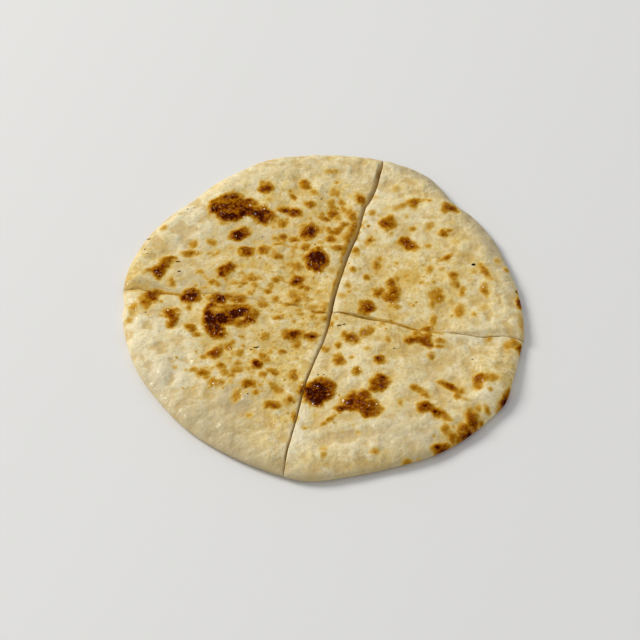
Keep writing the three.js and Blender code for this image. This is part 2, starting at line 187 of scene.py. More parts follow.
SPOTS = {
    "back left": (
        (-49, 71, 22, 20, 0, .84), (-57, 71, 10, 11, 0, .86), (-50, 65, 16, 7, -8, 1.14),
        (-42.5, 66.5, 9, 7, 30, 1.2), (-39.5, 70, 9, 7, 0, 1.12), (-50.5, 77.5, 9, 7, 0, 1.0),
        (-32, 66, 18, 12, -30, .92), (-33, 67, 13, 7, -30, 1.12), (-39, 75, 9, 8, 0, .84),
        (-59, 70.5, 5, 8, 0, 1.0), (-46, 80, 10, 6, 0, .8), (-43.5, 52, 13, 9, 38, .92),
        (-44.5, 51, 10, 8, 40, 1.2), (-39.5, 38.5, 9, 8.5, 0, .8), (-39.5, 38, 5, 5, 0, .95),
        (-30, 39.5, 8, 7, 0, .66), (-22.5, 34.5, 6.5, 5.5, 0, .66), (-51, 25.5, 13, 8, 42, .8),
        (-53, 23, 6, 6, 0, 1.05), (-29, 86, 9, 9, 0, .78), (-29, 85, 5, 5, 0, .9),
        (-31, 91, 3, 3, 0, .42), (-7.5, 90, 6.5, 6.5, 0, .7), (-6, 86.5, 6, 5, 0, .75),
        (-13.8, 79, 4.2, 6.5, 20, .64), (-15.5, 84, 2, 2.5, 0, .45), (-27, 76.5, 5, 4, 0, .35),
        (-17.5, 69, 9, 5.5, -25, .86), (-13.5, 66.5, 9, 7, -25, .94), (-4.8, 72.5, 6.5, 6, 0, .67),
        (-2, 81.5, 6, 4, -30, .52), (-20, 59.5, 6.5, 6.5, 0, .52), (-23, 47, 6, 6, 0, .5),
        (-23.5, 43.5, 5, 3, 0, .5), (-19.5, 49, 6.5, 6, 0, .68), (-13.5, 46.5, 7, 4.5, -20, .58),
        (-21, 44, 5, 4, 0, .42), (-25, 57, 3, 3, 0, .3), (-5, 52.5, 13, 10, 60, .86),
        (-5, 52, 8.5, 7.5, 0, 1.12), (-8, 57, 6, 4, 0, .55), (-1.2, 30.5, 12.5, 16, 0, 1.15),
        (0, 37.5, 6, 6, 0, .9), (-6.5, 31, 5, 9, 0, .75), (-7.5, 40.5, 6, 6, 0, .75),
        (-13, 27.5, 9, 7, -20, .52), (-12.5, 17.5, 9, 7, 50, .92), (-12.5, 17, 6.5, 5.5, 30, 1.1),
        (-10, 13, 4.5, 3.5, 0, .55), (-7, 12, 5, 4, 0, .55), (-14, 7, 6, 6, 0, .62),
        # The thin marks along the long cut are partly toast on the drooping edge and partly painted shade
        # of that edge.
        (-12.5, 4, 5, 6, 0, .58), (9.5, 17, 26, 3, 73, .5), (16.5, 46, 36, 3, 73, .55),
        (19.5, 56, 16, 6, 74, .6), (-23.5, 18, 5, 4, 0, .5), (-28, 10.5, 5, 4, 0, .48),
        (-24, 4, 5, 6, 0, .42), (-36, 19.5, 8, 5, 0, .5), (-37, 22, 4, 5, 0, .4),
        (-35, 14, 5, 5, 0, .45), (-38, 9, 4, 6, 0, .45), (-41, 16, 4, 3, 0, .48),
        (-46, 16, 6, 5, 0, .42), (-58, 16.5, 5, 5, 0, .48), (-55, 14.5, 4, 4, 0, .45),
        (-62, 13, 7, 3, 0, .38), (-65, 24, 4, 4, 0, .42), (-57, 39, 5.5, 5.5, 0, .5),
        (-59, 46, 6, 4.5, -40, .5), (-69, 45, 6, 6, 0, .42), (-70.5, 38.5, 10, 5, 0, .62),
        (-87, 25, 9, 9, 0, .82), (-87, 23, 5, 6, 0, .9), (-84, 31, 11, 7, 65, .75),
        (-82, 35, 8, 4, 5, .65), (-91, 25.5, 7, 5, 0, .55), (-94.5, 24, 4, 3, 0, .35),
        (-80, 18, 5, 7.5, 0, .52), (-85.5, 57, 4.5, 5, 0, .4), (-52.5, 60, 7, 4, 0, .3),
        (-103, 22.5, 3, 3, 0, .32), (-42, 29, 5, 4, 0, .22), (-28, 27, 6, 7, 0, .2),
        (-48, 42, 6, 4, 0, .2), (-13, 35, 7, 5, 0, .2), (8, 66, 5.5, 8, 0, .75),
        (10.5, 63, 4, 6, 0, .55), (8, 71, 5, 6, 0, .52), (7, 75, 5, 5, 0, .42),
        (3.5, 62, 7.5, 5.5, -35, .65), (2, 65.5, 4, 4, 0, .42), (24, 76, 9.5, 6.5, -55, .78),
        (19.5, 63, 6, 8, 0, .62), (17, 67, 4, 6, 0, .5), (21, 58, 5, 6, 0, .55),
        (13.5, 75, 5, 5, 0, .45), (14.5, 69, 5, 6, 0, .45), (10, 82, 6.5, 7, 0, .42),
        (15, 57, 6, 5, 0, .6), (11, 54, 9, 5, 0, .45), (5.5, 54, 5, 5, 0, .48),
        (8.5, 51.5, 8, 5, 0, .58), (18, 52, 5, 6, 0, .45), (7.5, 46.5, 8, 6.5, 0, .62),
        (16, 47.5, 9, 7, 0, .48), (10, 39, 8, 4, 0, .6), (14.5, 39.5, 5, 4, 0, .48),
        (20, 49, 9, 4, 72, .6), (7, 98, 6, 3.5, 0, .38), (11, 90, 3.5, 3, 0, .4),
        (12, 30, 3, 5, 0, .42), (7, 23, 5, 5, 0, .25), (11, 98, 4, 3, 0, .28),
    ),
    "front left": (
        (-55, 5, 10, 9, 0, .85), (-55, 4.5, 7.5, 7, 0, .95), (-57.5, 0, 6, 7, 0, .85),
        (-46, 6, 18, 7, -8, .6), (-48, -6, 30, 17, 8, .62), (-44.5, -5.5, 17, 9.5, 18, 1.14),
        (-57.5, -10.5, 11.5, 8, 0, 1.14), (-60, -5, 6, 12, -8, 1.0), (-52, -9.5, 14, 8, 5, 1.15),
        (-56, -15.5, 14, 9.5, -50, 1.02), (-52.5, -19.5, 6, 5, 0, .9), (-38.5, -7, 6, 10, 0, 1.04),
        (-59.5, -2, 5, 9, -15, .92), (-41, -10, 14, 9, 15, .78), (-35.5, -7, 6, 10, 0, .65),
        (-37, -10.5, 5, 4, 0, .9), (-69.5, 8, 11, 11, 0, 1.0), (-70, 8, 8, 8, 0, 1.1),
        (-79, -2.5, 10, 6, 0, .65), (-78.5, -6, 7, 11, 0, .88), (-79, -11, 5, 6, 0, .65),
        (-93, 5, 9, 7, 70, .62), (-90.5, 9, 9, 9, 0, .82), (-88, 12, 8, 5, 10, .78),
        (-95, 7, 6, 5, 0, .42), (-93, 1, 5, 6, 0, .48), (-99, 0, 6, 12, 0, .38),
        (-101, -7, 4, 4, 0, .35), (-69, -14.5, 7.5, 5, -20, .68), (-65, -19, 5, 4, -30, .52),
        (-70.5, 0, 4, 5, 0, .45), (-14.5, -20, 11, 8, 0, .88), (-13.5, -19.5, 7, 5, 0, 1.0),
        (-17.5, -22, 5, 4, 0, .65), (-12.5, -26.5, 5.5, 7, 0, .52), (-5.5, -21, 9, 5.5, 0, .88),
        (-5, -23.5, 6, 4, 0, .5), (-55, -31.5, 9, 7.5, 0, .88), (-61, -34, 5, 3.5, 0, .45),
        (-48, -27, 6.5, 6, 0, .5), (-46, -24.5, 4, 4, 0, .42), (-42.5, -31, 4.5, 6, -30, .5),
        (-33.5, -39, 6.5, 7.5, 0, 1.05), (-31, -34.5, 5, 6, 0, .58), (-29, -37, 5, 5, 0, .42),
        (-29, -21.5, 5, 6, 0, .48), (-20.5, -31, 4, 4, 0, .58), (-24, -28.5, 5, 3, 0, .3),
        (-52, -40, 6, 5, 0, .62), (-43, -39, 5, 5, 0, .48), (-43.5, -43, 7, 5.5, 30, .55),
        (-50, -45, 6, 4.5, -40, .45), (-46.5, -47, 5, 4, 0, .45), (-62, -44, 8, 5.5, -35, .65),
        (-66, -41.5, 5, 4, 0, .4), (-55.5, -50.5, 6, 5, 0, .5), (-51.5, -50.5, 4, 4, 0, .45),
        (-59.5, -47, 4, 3, 0, .42), (-38, -52.5, 8, 6, -10, .9), (-44, -59, 10, 6, 70, .45),
        (-34, -58, 4, 4, 0, .4), (-26, -44, 6, 4, -20, .55), (-24, -46, 5, 4, 0, .58),
        (-30, -46.5, 5, 5, 0, .52), (-15, -47.5, 6, 7, 0, .68), (-23.5, -55.5, 10, 4.5, -45, .52),
        (-25.5, -66, 9, 5.5, 0, .62), (-24.5, -66.5, 6, 4, 0, .7), (-17, -63, 6, 6, -30, .82),
        (-10, -56.5, 4.5, 8, 0, .88), (-14.5, -73, 4, 6.5, 0, .58), (-37, -72, 4, 4.5, 0, .35),
        (-22, -8, 7, 4, 0, .52), (-10.5, -6.5, 5, 3.5, 0, .42), (-30, 1, 6, 5.5, 0, .6),
        (-16, 0, 9, 3.5, 0, .48), (-4, -2, 9, 3.5, 0, .42), (-1, -5.5, 10, 3, -10, .52),
        # The dark mark at (-88, 13.2) and the thin line at (-83, 11.2) are painted shadow in the left cut.
        (-88, 13.2, 4, 2, -20, 1.0), (-99, 15.5, 13, 5, -14, .34), (-83, 11.2, 14, 1.6, -10, .5),
        (2, -10, 6, 6, 0, .42), (-1.5, -13.5, 4, 4, 0, .28), (-12, -4, 5, 3, 0, .35),
    ),
    "back right": (
        (38, 57, 9, 12, 0, .7), (39.5, 60.5, 6, 7, 0, .68), (38, 56.5, 6, 6, 0, .85),
        (49, 42, 13, 8, -42, .7), (47, 44, 8, 8, 0, .74), (48, 43, 5, 4, 0, .85),
        (51.5, 40, 6, 6, 0, .75), (53, 71, 7.5, 7.5, 0, .62), (56, 73.5, 8, 4.5, 20, .52),
        (46, 69, 10, 4.5, 20, .38), (62.5, 72.5, 3, 3, 0, .38), (73.5, 67, 9, 8, 0, .7),
        (75, 66, 8, 5, 0, .78), (71, 64.5, 6, 5, 0, .55), (69, 49, 6, 6, 0, .65),
        (72, 50.5, 4, 3, 0, .6), (28, 45, 6.5, 7, 0, .42), (28, 45, 4, 4, 0, .6),
        (30.5, 66, 4, 5.5, 0, .45), (52, 53.5, 5, 4.5, 0, .45), (49, 62, 3, 4, 0, .32),
        (61.5, 54.5, 7, 6, 0, .3), (40, 49, 4, 5, 0, .3), (44.5, 83.5, 4.5, 5, 0, .35),
        (69, 30.5, 9, 4, 35, .75), (89, 20, 14, 5, -68, .52), (90, 18, 4, 6, 0, .62),
        (88.5, 7, 5.5, 8, 0, .52), (38.7, 7.5, 7.5, 16, 0, .8), (38.3, 6, 5, 12, 5, .95),
        (38.8, 13.5, 4.5, 8, 0, .84), (31.5, 7.5, 7, 7.5, 0, .7), (35, 6, 6, 5.5, 0, .64),
        (41.5, 16.5, 4, 8, 0, .38), (37, -2, 4, 4, 0, .42), (24.5, -3, 9.5, 10, 0, .8),
        (24, -3, 8, 8, 0, 1.0), (31, 27.5, 6, 8.5, 0, .5), (33.5, 32, 4, 4, 0, .4),
        (18, 24, 4, 4, 0, .48), (25.5, 19, 4, 6, 0, .52), (60, 23, 5, 7.5, 0, .42),
        (72, 17, 6, 7.5, 0, .58), (73, 11, 5, 5, 0, .52), (76, 6, 4.5, 8, 0, .42),
        (70, 0, 4, 6, 0, .28), (62, 4, 9.5, 13, 0, .42), (63.5, 3.5, 5, 8, 0, .57),
        (59.5, -1.5, 5, 7, 0, .54), (74, -7, 7, 10, 0, .44), (74, -9.5, 5, 5, 0, .5),
        (59.5, -12.5, 4, 9, 0, .44), (20, 37.5, 5, 7, 0, .45), (15, 12.5, 4, 5, 0, .42),
        (12, 5, 6, 4, 0, .3), (48, 17, 16, 13, 0, .2), (47, 18.5, 5, 5, 0, .3), (40, -3, 5, 6, 0, .35),
        (83, 20, 6, 5, 0, .25), (97, 28, 5, 6, 0, .3), (101, 22, 3, 4, 0, .48),
        (106, -1, 3.5, 7, 0, 1.0), (106, 7, 2, 3, 0, .6), (60, 40, 4, 4, 0, .42),
        (75, 42, 5, 4, 0, .22), (66, 22, 4, 4, 0, .25), (86.5, -5, 6, 6, 0, .24),
        (81, -11, 4, 4, 0, .32), (23, 57, 4, 6, 0, .45), (106.5, -17, 5, 18, 0, .26),
    ),
    "front right": (
        (-1.5, -58.5, 18, 14.5, 42, 1.1), (0, -52, 8, 5, 0, .85), (-8, -57, 5, 6, 0, .88),
        (18, -66.5, 16, 12, 0, .8), (15, -61.5, 6.5, 6.5, 0, .82), (20.5, -62, 9, 8, 0, .88),
        (16, -66, 15, 7, 12, .95), (10.5, -68.5, 8, 5, 20, 1.12), (13, -65.5, 8, 5, 40, 1.05),
        (24.5, -67, 11, 7, -48, .85), (22, -71.5, 9, 8, 0, .9), (26, -71.5, 7, 6, 0, .8),
        (28, -69.5, 6, 4, -20, .6), (4.5, -75, 3, 9, -28, .45), (12, -75, 15, 6, 0, .2),
        (3, -76, 3.4, 2.6, 30, .5), (6, -73.5, 3.4, 2.6, 50, .52), (8.5, -71.5, 2.6, 3, 0, .55),
        (9, -76, 2.2, 2, 0, .4), (5.5, -78, 1.8, 1.6, 0, .4), (12, -73.5, 3, 2, 0, .45),
        (15, -75, 2.2, 1.6, 0, .35), (0.5, -78.5, 3, 2.4, 0, .42), (29.5, -54, 10, 10, 0, .86),
        (31, -50.5, 7.5, 5, 0, .92), (27, -56.5, 8.5, 5.5, 0, .84), (9, -38, 6.5, 8, 0, .72),
        (30.5, -38.5, 6.5, 6.5, 0, .9), (18, -46, 5, 5, 0, .58), (15.5, -36.5, 3, 2.5, 0, .4),
        (24, -31.5, 4, 3.5, 0, .36), (16, -23, 9.5, 6.5, 0, .84), (12.5, -20.5, 4, 4, 0, .5),
        (23, -20, 9, 5, 30, .6), (26, -18, 5, 5, 0, .45), (9, -28, 4.5, 4, 0, .62),
        (2, -30, 6, 5.5, 0, .45), (51, -25, 15, 8, 0, .62), (47, -26, 9, 5, 0, .85),
        (54.5, -25.5, 8, 9, 0, .7), (50.5, -21.5, 6, 6, 0, .6), (56, -29, 5, 5, 0, .68),
        (56, -18, 8, 4.5, 0, .62), (62, -27, 6, 4, 0, .45), (62, -30.5, 6, 3.5, 0, .58),
        # The three thin dark lines from (25, -10.2) to (54, -19.2) are painted shadow in the right cut's
        # gap.
        (35, -25, 4, 4, 0, .4), (32.5, -14, 5, 5, 0, .35), (25, -10.2, 22, 1.6, -13, .8),
        (41, -14.9, 16, 1.2, -17, .6), (54, -19.2, 14, 1.2, -16, .5), (56.5, -36.5, 4.5, 4.5, 0, .42),
        (65, -56, 11, 6, -35, .8), (66, -56.5, 6, 4, -35, .88), (70.5, -60, 5, 6, 0, .52),
        (69, -63.5, 4.5, 5, 0, .55), (72.5, -66, 5, 4, 0, .35), (47, -57, 6, 4.5, -20, .55),
        (52, -61.5, 6, 5, -40, .55), (50, -59, 11, 4.5, -42, .46), (52, -69.5, 9, 7, 0, .86),
        (57, -72.5, 10, 6, -38, .88), (61.5, -76, 7, 4, -40, .68), (39.5, -66.5, 4.5, 5.5, 0, .4),
        (81, -52.5, 9, 7.5, 0, .72), (79.5, -57.5, 5, 7, 0, .5), (87, -53, 8, 5, 0, .4),
        (74.5, -76.5, 6.5, 9, 0, .84), (75, -80, 6.5, 6, 0, .9), (71.5, -82.5, 7, 6, 0, .78),
        (72.5, -85.5, 10, 5, 25, 1.1), (76, -82.5, 6, 6, 0, .74), (62, -83.5, 6.5, 6.5, 0, .64),
        (64.5, -87.5, 8, 5.5, -40, .64), (67, -88.5, 5, 4.5, 0, .62), (68, -85, 4, 4, 0, .45),
        (59, -93.8, 9, 5.5, 12, 1.1), (93, -65, 16, 4.6, 67, 1.0), (78.5, -71, 3.4, 4, 0, .45),
        (83, -71.5, 3.6, 5, 0, .5), (80, -79, 3, 2.5, 0, .6), (101, -28, 6, 7, 0, .58),
        (97, -29, 5, 6, 0, .4), (103.5, -31, 4, 7, 0, .8), (25, -96.5, 5.5, 4, 0, .38),
        (0, -94, 5, 4, 0, .28), (0, -97.5, 3.5, 4, 0, .4), (41, -101, 5, 3, 0, .42),
        (48, -100, 5, 2.5, 0, .42), (-9, -80, 4, 3.5, 0, .32), (88, -25, 5, 4, 0, .32),
        (5.5, -14, 3, 5, 0, .45),
    ),
}
# Paler crust left inside the large spots, in the same form, with how much it takes away. The one at (13,
# -74.5) is a painted highlight, the shine on the glossy lower edge of a blister.
PALE_CRUST_AND_GLINT = (
    (-55, 75, 6, 5, 0, .3), (-46, 75, 9, 6, 0, .2), (-39.5, 63, 7, 4, 0, .6), (-54, -3, 9, 5, -10, .35),
    (-57, 39.5, 2, 2, 0, .4), (-23.5, 46, 3, 3, 0, .3), (13, -74.5, 12, 5, 10, .5),
    (-42, -9.5, 5, 3, 10, .4),
)

# How the edge of a browned mark is drawn. A wide mark takes more of each than a small one does, so
# the first value is for a mark of no width and the second is added for each millimetre of its half
# width, up to the third.
MARK_SHIFT = 0.9                    # how far the noise moves the edge, in mm
MARK_LOOSE = (0.15, 0.25, 1)        # share of that shift
MARK_FRAY = (0, 0.3, 0.9)           # how far the edge frays in and out, in mm
MARK_HALO = (0.7, 0.4, 2.2)         # width of the faint golden halo outside the edge, in mm
MARK_DEPTH = (0, 1, 2.9)            # how far inside the edge the mark is fully dark, in mm
MARK_MARGIN = 3.5                   # past a mark's half size, where it has surely faded out
MARK_PATCHY = 0.25                  # how much the darkness varies inside the marks

# Zones where the dough is toasted between the spots: x, y, radius, strength.
TOAST_ZONES = (
    (12, 60, 22, 1), (-22, 47, 18, .5), (-40, 16, 26, .7), (-10, 5, 24, .6), (-45, -35, 24, .55),
    (-25, -48, 22, .55), (48, 16, 16, .7), (-93, 0, 13, .8), (3, -8, 14, .55), (45, -25, 18, .35),
    (66, 4, 18, .4), (-5, 30, 16, .5), (-62, 20, 16, .45), (8, -78, 14, .55), (64, -88, 8, .7),
    (20, 28, 14, .35), (-50, 80, 16, .3), (42, 68, 14, .3), (82, -55, 12, .4), (-60, -48, 14, .35),
)
# The blotches there are where a noise times the contrast, plus what the zone adds, is over the level.
BLOTCH_DARKNESS = 0.34
BLOTCH_CONTRAST = 1.5
BLOTCH_ZONE = 1.1
BLOTCH_LEVEL = 0.85

# Freckles, drawn at random over a square. One is kept where a further draw, its chance, is below the
# strength of the toasted zones there.
FRECKLE_SEED = 77
FRECKLE_COUNT = 1500
FRECKLE_FIELD = 105                 # half the square's side, in mm
FRECKLE_LENGTH = (0.8, 2.5)         # the least in mm, and what the cube of a draw adds
FRECKLE_ROUND = (0.7, 1)            # width as a share of the length
FRECKLE_DARKNESS = (0.14, 0.46)
FRECKLE_CHANCE = (0.1, 1)

# Where butter soaked in; where the dough is pale, from flour that it kept and from painted highlight along
# the lit edges of the cuts; and where it is darker and greyer, mostly painted shade where the rim turns
# from the light: x, y, length, width, turn, strength.
BUTTERY = (
    (4, -8, 56, 44, 0, .6), (-12, -52, 36, 44, 0, .75), (10, 22, 56, 50, 0, .35),
    (-40, 10, 56, 30, 0, .35), (16, -34, 44, 34, 0, .3), (-28, -77, 40, 6, -12, .8),
    (48, 14, 40, 30, 0, .4), (12, 62, 36, 60, 0, .3), (46, 84, 60, 20, -25, .3),
    (52, -18, 60, 10, -15, .4), (-20, 74, 40, 40, 0, .2), (60, -60, 50, 40, 0, .2),
    (-60, 36, 40, 30, 0, .2), (20, -104, 90, 10, 0, .4), (70, 20, 40, 50, 0, .2),
    (36, 56, 40, 40, 0, .2), (-98, 24, 18, 20, 0, .4), (98, -56, 24, 36, 0, .8),
    (-12, 48, 30, 28, 0, .35), (-38, -34, 44, 34, 0, .35), (48, -34, 56, 40, 0, .4),
    (74, -84, 26, 20, 0, .5), (-66, -4, 20, 34, 0, .35), (14, 74, 30, 20, 0, .2),
    (-28, 42, 60, 34, 0, .35), (-8, -84, 40, 20, 0, .4), (20, -56, 50, 24, 0, .25),
    (-60, 18, 40, 24, 0, .25),
)
# Pale dough that kept its flour. The long narrow zones along the cuts and the one on the fold at the front
# right are painted highlight, the light caught by the crisp edges and the ridge.
FLOURY_AND_LIT_EDGES = (
    (-97, -26, 30, 52, 8, .6), (-78, -46, 30, 34, -45, .5), (-98, -4, 20, 30, 0, .5),
    (-74, 66, 44, 34, 45, .7), (-40, 100, 50, 22, 10, .45), (40, -84, 70, 20, 10, .4),
    (0, -90, 40, 20, 0, .5), (76, -34, 36, 40, 0, .3), (22, 48, 14, 44, -17, .9),
    (14, 20, 26, 26, 0, .4), (14, -42, 24, 44, 0, .6), (44, 62, 30, 44, 0, .4),
    (84, -65, 10, 16, -30, .8), (-12, -81, 50, 8, 77, .9), (0, -32, 7, 34, -18, .5),
    (84, -28, 44, 6, -3, .6), (34, 84, 30, 9, 72, .7), (8, 0, 26, 8, 75, .6), (14, 98, 24, 16, 0, .4),
    (44, 98, 30, 18, -20, .3), (-42, -2, 50, 20, 0, .25), (98, -6, 14, 30, 0, .4),
    (42, -56, 30, 34, 0, .3), (-70, 44, 20, 20, 0, .5), (-74, -56, 40, 30, -40, .5),
    (14, 44, 24, 30, 0, .3),
)
# Mostly painted shade: along the rim where it turns away from the light, along the front rim and in a
# hollow at the front left. The few zones inside are duller dough.
DULL_AND_SHADE = (
    (-66, -80, 44, 20, -38, .6), (-40, -98, 40, 16, -20, .5), (-42, -62, 22, 18, 30, .7),
    (40, -88, 60, 22, 8, .5), (98, 44, 18, 60, 25, 1), (78, 72, 40, 16, -45, .6),
    (60, -44, 30, 40, 0, .2), (-4, 102, 20, 14, 0, .4), (26, 96, 16, 24, 0, .3),
    (-44, -106, 56, 14, -22, 1), (44, -106, 50, 12, 18, .9), (-50, -78, 40, 24, -35, .4),
    (93, 53, 40, 9, 120, .8), (76, 76, 40, 9, 135, .9), (55, 94, 40, 9, 150, .8),
    (-94, -54, 22, 34, 30, .8), (-30, 46, 56, 28, 0, .6), (-66, 16, 44, 26, 0, .5),
    (96, 30, 20, 50, 10, .4), (0, -112, 110, 12, 0, .5), (-42, -58, 24, 20, 0, .3),
)
TINT_ZONES = {"butter": BUTTERY, "flour_and_lit_edge": FLOURY_AND_LIT_EDGES, "dull_and_shade": DULL_AND_SHADE}

# ---- Relief of the dough, finer than the solids' own ----

# Folds, ridges and hollows, in millimetres from SPOT_ORIGIN: x, y, length, width, turn, height.
FOLDS = (
    (-17, 97, 24, 9, 95, .5), (-11, 93, 26, 7, 92, -1.0), (0.5, 88, 26, 7, 86, .7),
    (-43, 87, 30, 14, 30, .5), (26, 102, 10, 4, 80, -.5), (-70, 43, 18, 8, 80, -.5),
    (-63, 50, 24, 10, 80, .35), (-91, 42, 16, 7, 80, -.45), (-87, -24, 12, 5, 60, .5),
    (-89, -29, 9, 4, 35, -.25), (-93, -19, 14, 5, 100, -.15), (-96, -12, 20, 6, 100, .4),
    (-77, -46, 10, 5, 70, -.2), (-83, -44, 18, 8, 70, .4), (-70, -46, 14, 10, 60, .75),
    (-64, -57, 13, 9, 30, -.5), (-62, -67, 15, 8, -35, .6), (-43, -66, 17, 9, -15, -.85),
    (-30, -80, 34, 4, 5, -.4), (-32, -86, 9, 6, 20, .4), (-45, -84, 10, 6, 30, .4),
    (60, -42, 16, 9, 60, -.5), (58, -63, 18, 10, 60, -.6), (85, -61, 16, 6, 60, .5),
    (66, -76, 14, 7, 50, .5), (14, -86, 24, 7, 5, -.6), (30, -93, 50, 6, 10, .4),
    (-6, -96, 14, 3, 90, .4), (33, 26, 18, 6, 80, -.4), (48, 48, 20, 7, 75, -.4),
    (43.5, 14, 18, 7, 75, -.4), (57, 10, 22, 9, 85, .45), (65, -6, 20, 7, 75, -.5),
    (71, -8, 20, 7, 80, .4), (81, 31, 20, 8, 80, -.5), (91, 38, 24, 8, 100, .4),
    (85, -11, 14, 4, 85, .35), (92, -6, 20, 4, 88, .35), (88.5, -8, 18, 3, 87, -.3),
    (95.5, 0, 18, 3, 90, -.3), (-88, 13, 6, 3, -20, -.5),
)

# Noises of the relief and of the browning: size in mm, layers, seed.
BROAD_RISE = (21, 2, 31)            # the rolled dough is never quite flat
LUMPS = (8, 2, 43)                  # soft lumps between the puffs
DOUGH_SKIN = (2.2, 2, 61)           # dry skin of the dough
CRUST_GRAIN = (1.8, 2, 71)          # scorched crumbs, coarser than the real 0.5 mm ones so as to show
MARK_SHIFTS = ((6, 3, 11), (6, 3, 23))       # of x and of y, so that no mark is an even oval
MARK_FRAYS = (5, 4, 81)
MARK_PATCHES = (5, 3, 91)
BLOTCHES = (5.5, 3, 101)
# Billows: size in mm, seed. Bubbles: size of their cells in mm, share of cells with one, seed.
PUFFS = (15, 41)                    # the size of the dough's own puffs between its creases
WRINKLES = (3.2, 52)                # shrunken skin
BUBBLES = (6.5, 0.35, 51)           # gas bubbles under the skin

BROAD_HEIGHT = 0.9
BROAD_DROP = 0.12                   # takes off what the puffs and bubbles add on the whole
SKIN_HEIGHT = 0.09
GRAIN_HEIGHT = 0.2                  # of the grain on browned crust
CRUST_RISE = 0.08                   # how far browned crust stands proud
# Heights in the middle of the bread, and what the rim's border adds to them.
PUFF_RELIEF = (0.5, 0.65)
LUMP_RELIEF = (0.34, 0.36)
BUBBLE_RELIEF = (0.12, 0.5)
WRINKLE_RELIEF = (0.1, 0.2)
RELIEF_BORDER = 42                  # width of that border

# Painted shade in the hollows: the dough's colour takes a warm, darker tint, this much on level dough, and
# more for each millimetre of hollow.
CREASE_SHADE_LEVEL = 0.5
CREASE_SHADE_GAIN = 1.4

# Heights between which the top is pressed down, so that it stays about as low as the solids.
LOW_PEAK, TOP_PEAK = 8.2, 9.1

# ---- Burnt flecks lying on the crust: x, y, length, width, turn, bow, char ----

FLECKS = (
    (-73, 71, 1.4, .8, 20, 0, .3), (-69, 72, 1.2, .7, 80, 0, .3), (-93.4, 50.4, 3.4, .7, 30, .6, .15),
    (-95.6, 42.4, 1.4, .8, 70, 0, .4), (-77, 32.5, 3, 1.1, -5, 0, .4), (-76, 24.5, 1.9, 1.1, 20, 0, .6),
    (-31, 50, 1, .7, 40, 0, .2), (2, 77, 1.1, .7, 0, 0, .3), (83.5, 25, 2.1, 2, 0, 0, 1),
    (65, 30.5, 1.1, .7, 0, 0, .3), (-34, -28.3, 3.2, .9, 5, .3, .5), (-36.6, -29.3, 1.2, .8, 0, 0, .5),
    (-38, -59, 1.1, .7, 0, 0, .3), (-2, -47.5, 1.2, .7, 30, 0, .4), (1, -47.5, 1.1, .6, 0, 0, .3),
    (9.5, -15, 2.8, .8, 10, -.4, .4), (12.5, -14.6, 2.2, .7, 25, .3, .3), (78, -40, 1, .7, 0, 0, .3),
    (105, 7, 1.8, .8, 80, 0, .6), (-82, 29, .9, .6, 0, 0, .3), (-94, 38, .9, .6, 0, 0, .2),
    (-93, -3, 1, .6, 0, 0, .3), (38, -31, 1, .7, 0, 0, .2),
)
FLECK_SEED = 5
FLECK_POINTS = 10                   # round a fleck
FLECK_RINGS = 6
FLECK_HALF_HEIGHT = 0.2
FLECK_SEAT = 0.08                   # how far its middle stands over the crust
FLECK_RAGGED = (0.75, 1.15)         # share of its radius

# ---- Meshes ----

SIDE_STEPS = np.linspace(0, 1, 400)          # even steps along a cut, from the hub to the rim
COLUMNS = 352                       # across a quarter, from cut to cut
CLOSE_COLUMNS = np.array([0, 0.07, 0.2, 0.4, 0.7, 1.1, 1.6, 2.2])      # mm from each cut
CLOSE_SHARE = 0.05                  # most of the width between two of them, near the hub
HUB_WIDTH = 1e-6                    # stands in for no width at the hub, so that it can divide
UNDER_SKIP = 8                      # the underside has one column for so many of the top's
ROWS = 188                          # from the hub to where the edge starts to round over
NOSE_ROWS = 12                      # over the widest line, and as many under it
WALL_ROWS = 10
WALL_POWER = 1.4                    # above 1, so that a wall's rows are closer at its top
CRUST_DEPTH = 0.5                   # how far the browned crust reaches down a cut, in mm

# The numbers of a point after its x, y and z: the gap at its quarter's long and side cut, its
# distance from each, and its share of crust over crumb.
GAP, AWAY, CRUST = 3, 5, 7


# ---- Noise and bells, as whole arrays ----

LATTICE = 256                       # cells after which a noise repeats, more than the bread has
NOISE_GAIN = 1.5                    # brings gradient noise to about -1 to 1
BUBBLE_REACH = (0.35, 0.45)         # least radius in cells, and what a draw adds
BUBBLE_POWER = 1.5                  # above 1, so that a bubble meets the dough softly
CREASE_SOFTNESS = 0.006             # rounds the bottom of the creases
BILLOW_MIDDLE = 0.35                # taken off, so that billows lie about 0


def gradient_noise(x, y, size, seed):
    """Smooth noise of about -1 to 1: each corner of a lattice of that size has a random slope, and the
    four slopes round a point are blended with the fade 6t^5 - 15t^4 + 10t^3."""
    angle = np.random.default_rng(seed).uniform(0, 2 * math.pi, (LATTICE, LATTICE))
    u, v = x / size, y / size
    i, j = np.floor(u).astype(int), np.floor(v).astype(int)
    du, dv = u - i, v - j

    def slope(a, b):
        turn = angle[(i + a) % LATTICE, (j + b) % LATTICE]
        return np.cos(turn) * (du - a) + np.sin(turn) * (dv - b)

    fade_u = du ** 3 * (du * (6 * du - 15) + 10)
    fade_v = dv ** 3 * (dv * (6 * dv - 15) + 10)
    low = slope(0, 0) * (1 - fade_u) + slope(1, 0) * fade_u
    high = slope(0, 1) * (1 - fade_u) + slope(1, 1) * fade_u
    return NOISE_GAIN * (low * (1 - fade_v) + high * fade_v)


def layered_noise(x, y, size, layers, seed):
    """Sum of gradient noises, each half as large and half as strong as the one before."""
    total = np.zeros_like(x)
    for layer in range(layers):
        total += gradient_noise(x, y, size / 2 ** layer, seed + layer) / 2 ** layer
    return total


def billows(x, y, size, seed):
    """Rounded puffs with soft creases between them: the absolute value of a gradient noise, softened
    as the root of its square plus a little, and lowered to lie about 0."""
    return np.sqrt(gradient_noise(x, y, size, seed) ** 2 + CREASE_SOFTNESS) - BILLOW_MIDDLE


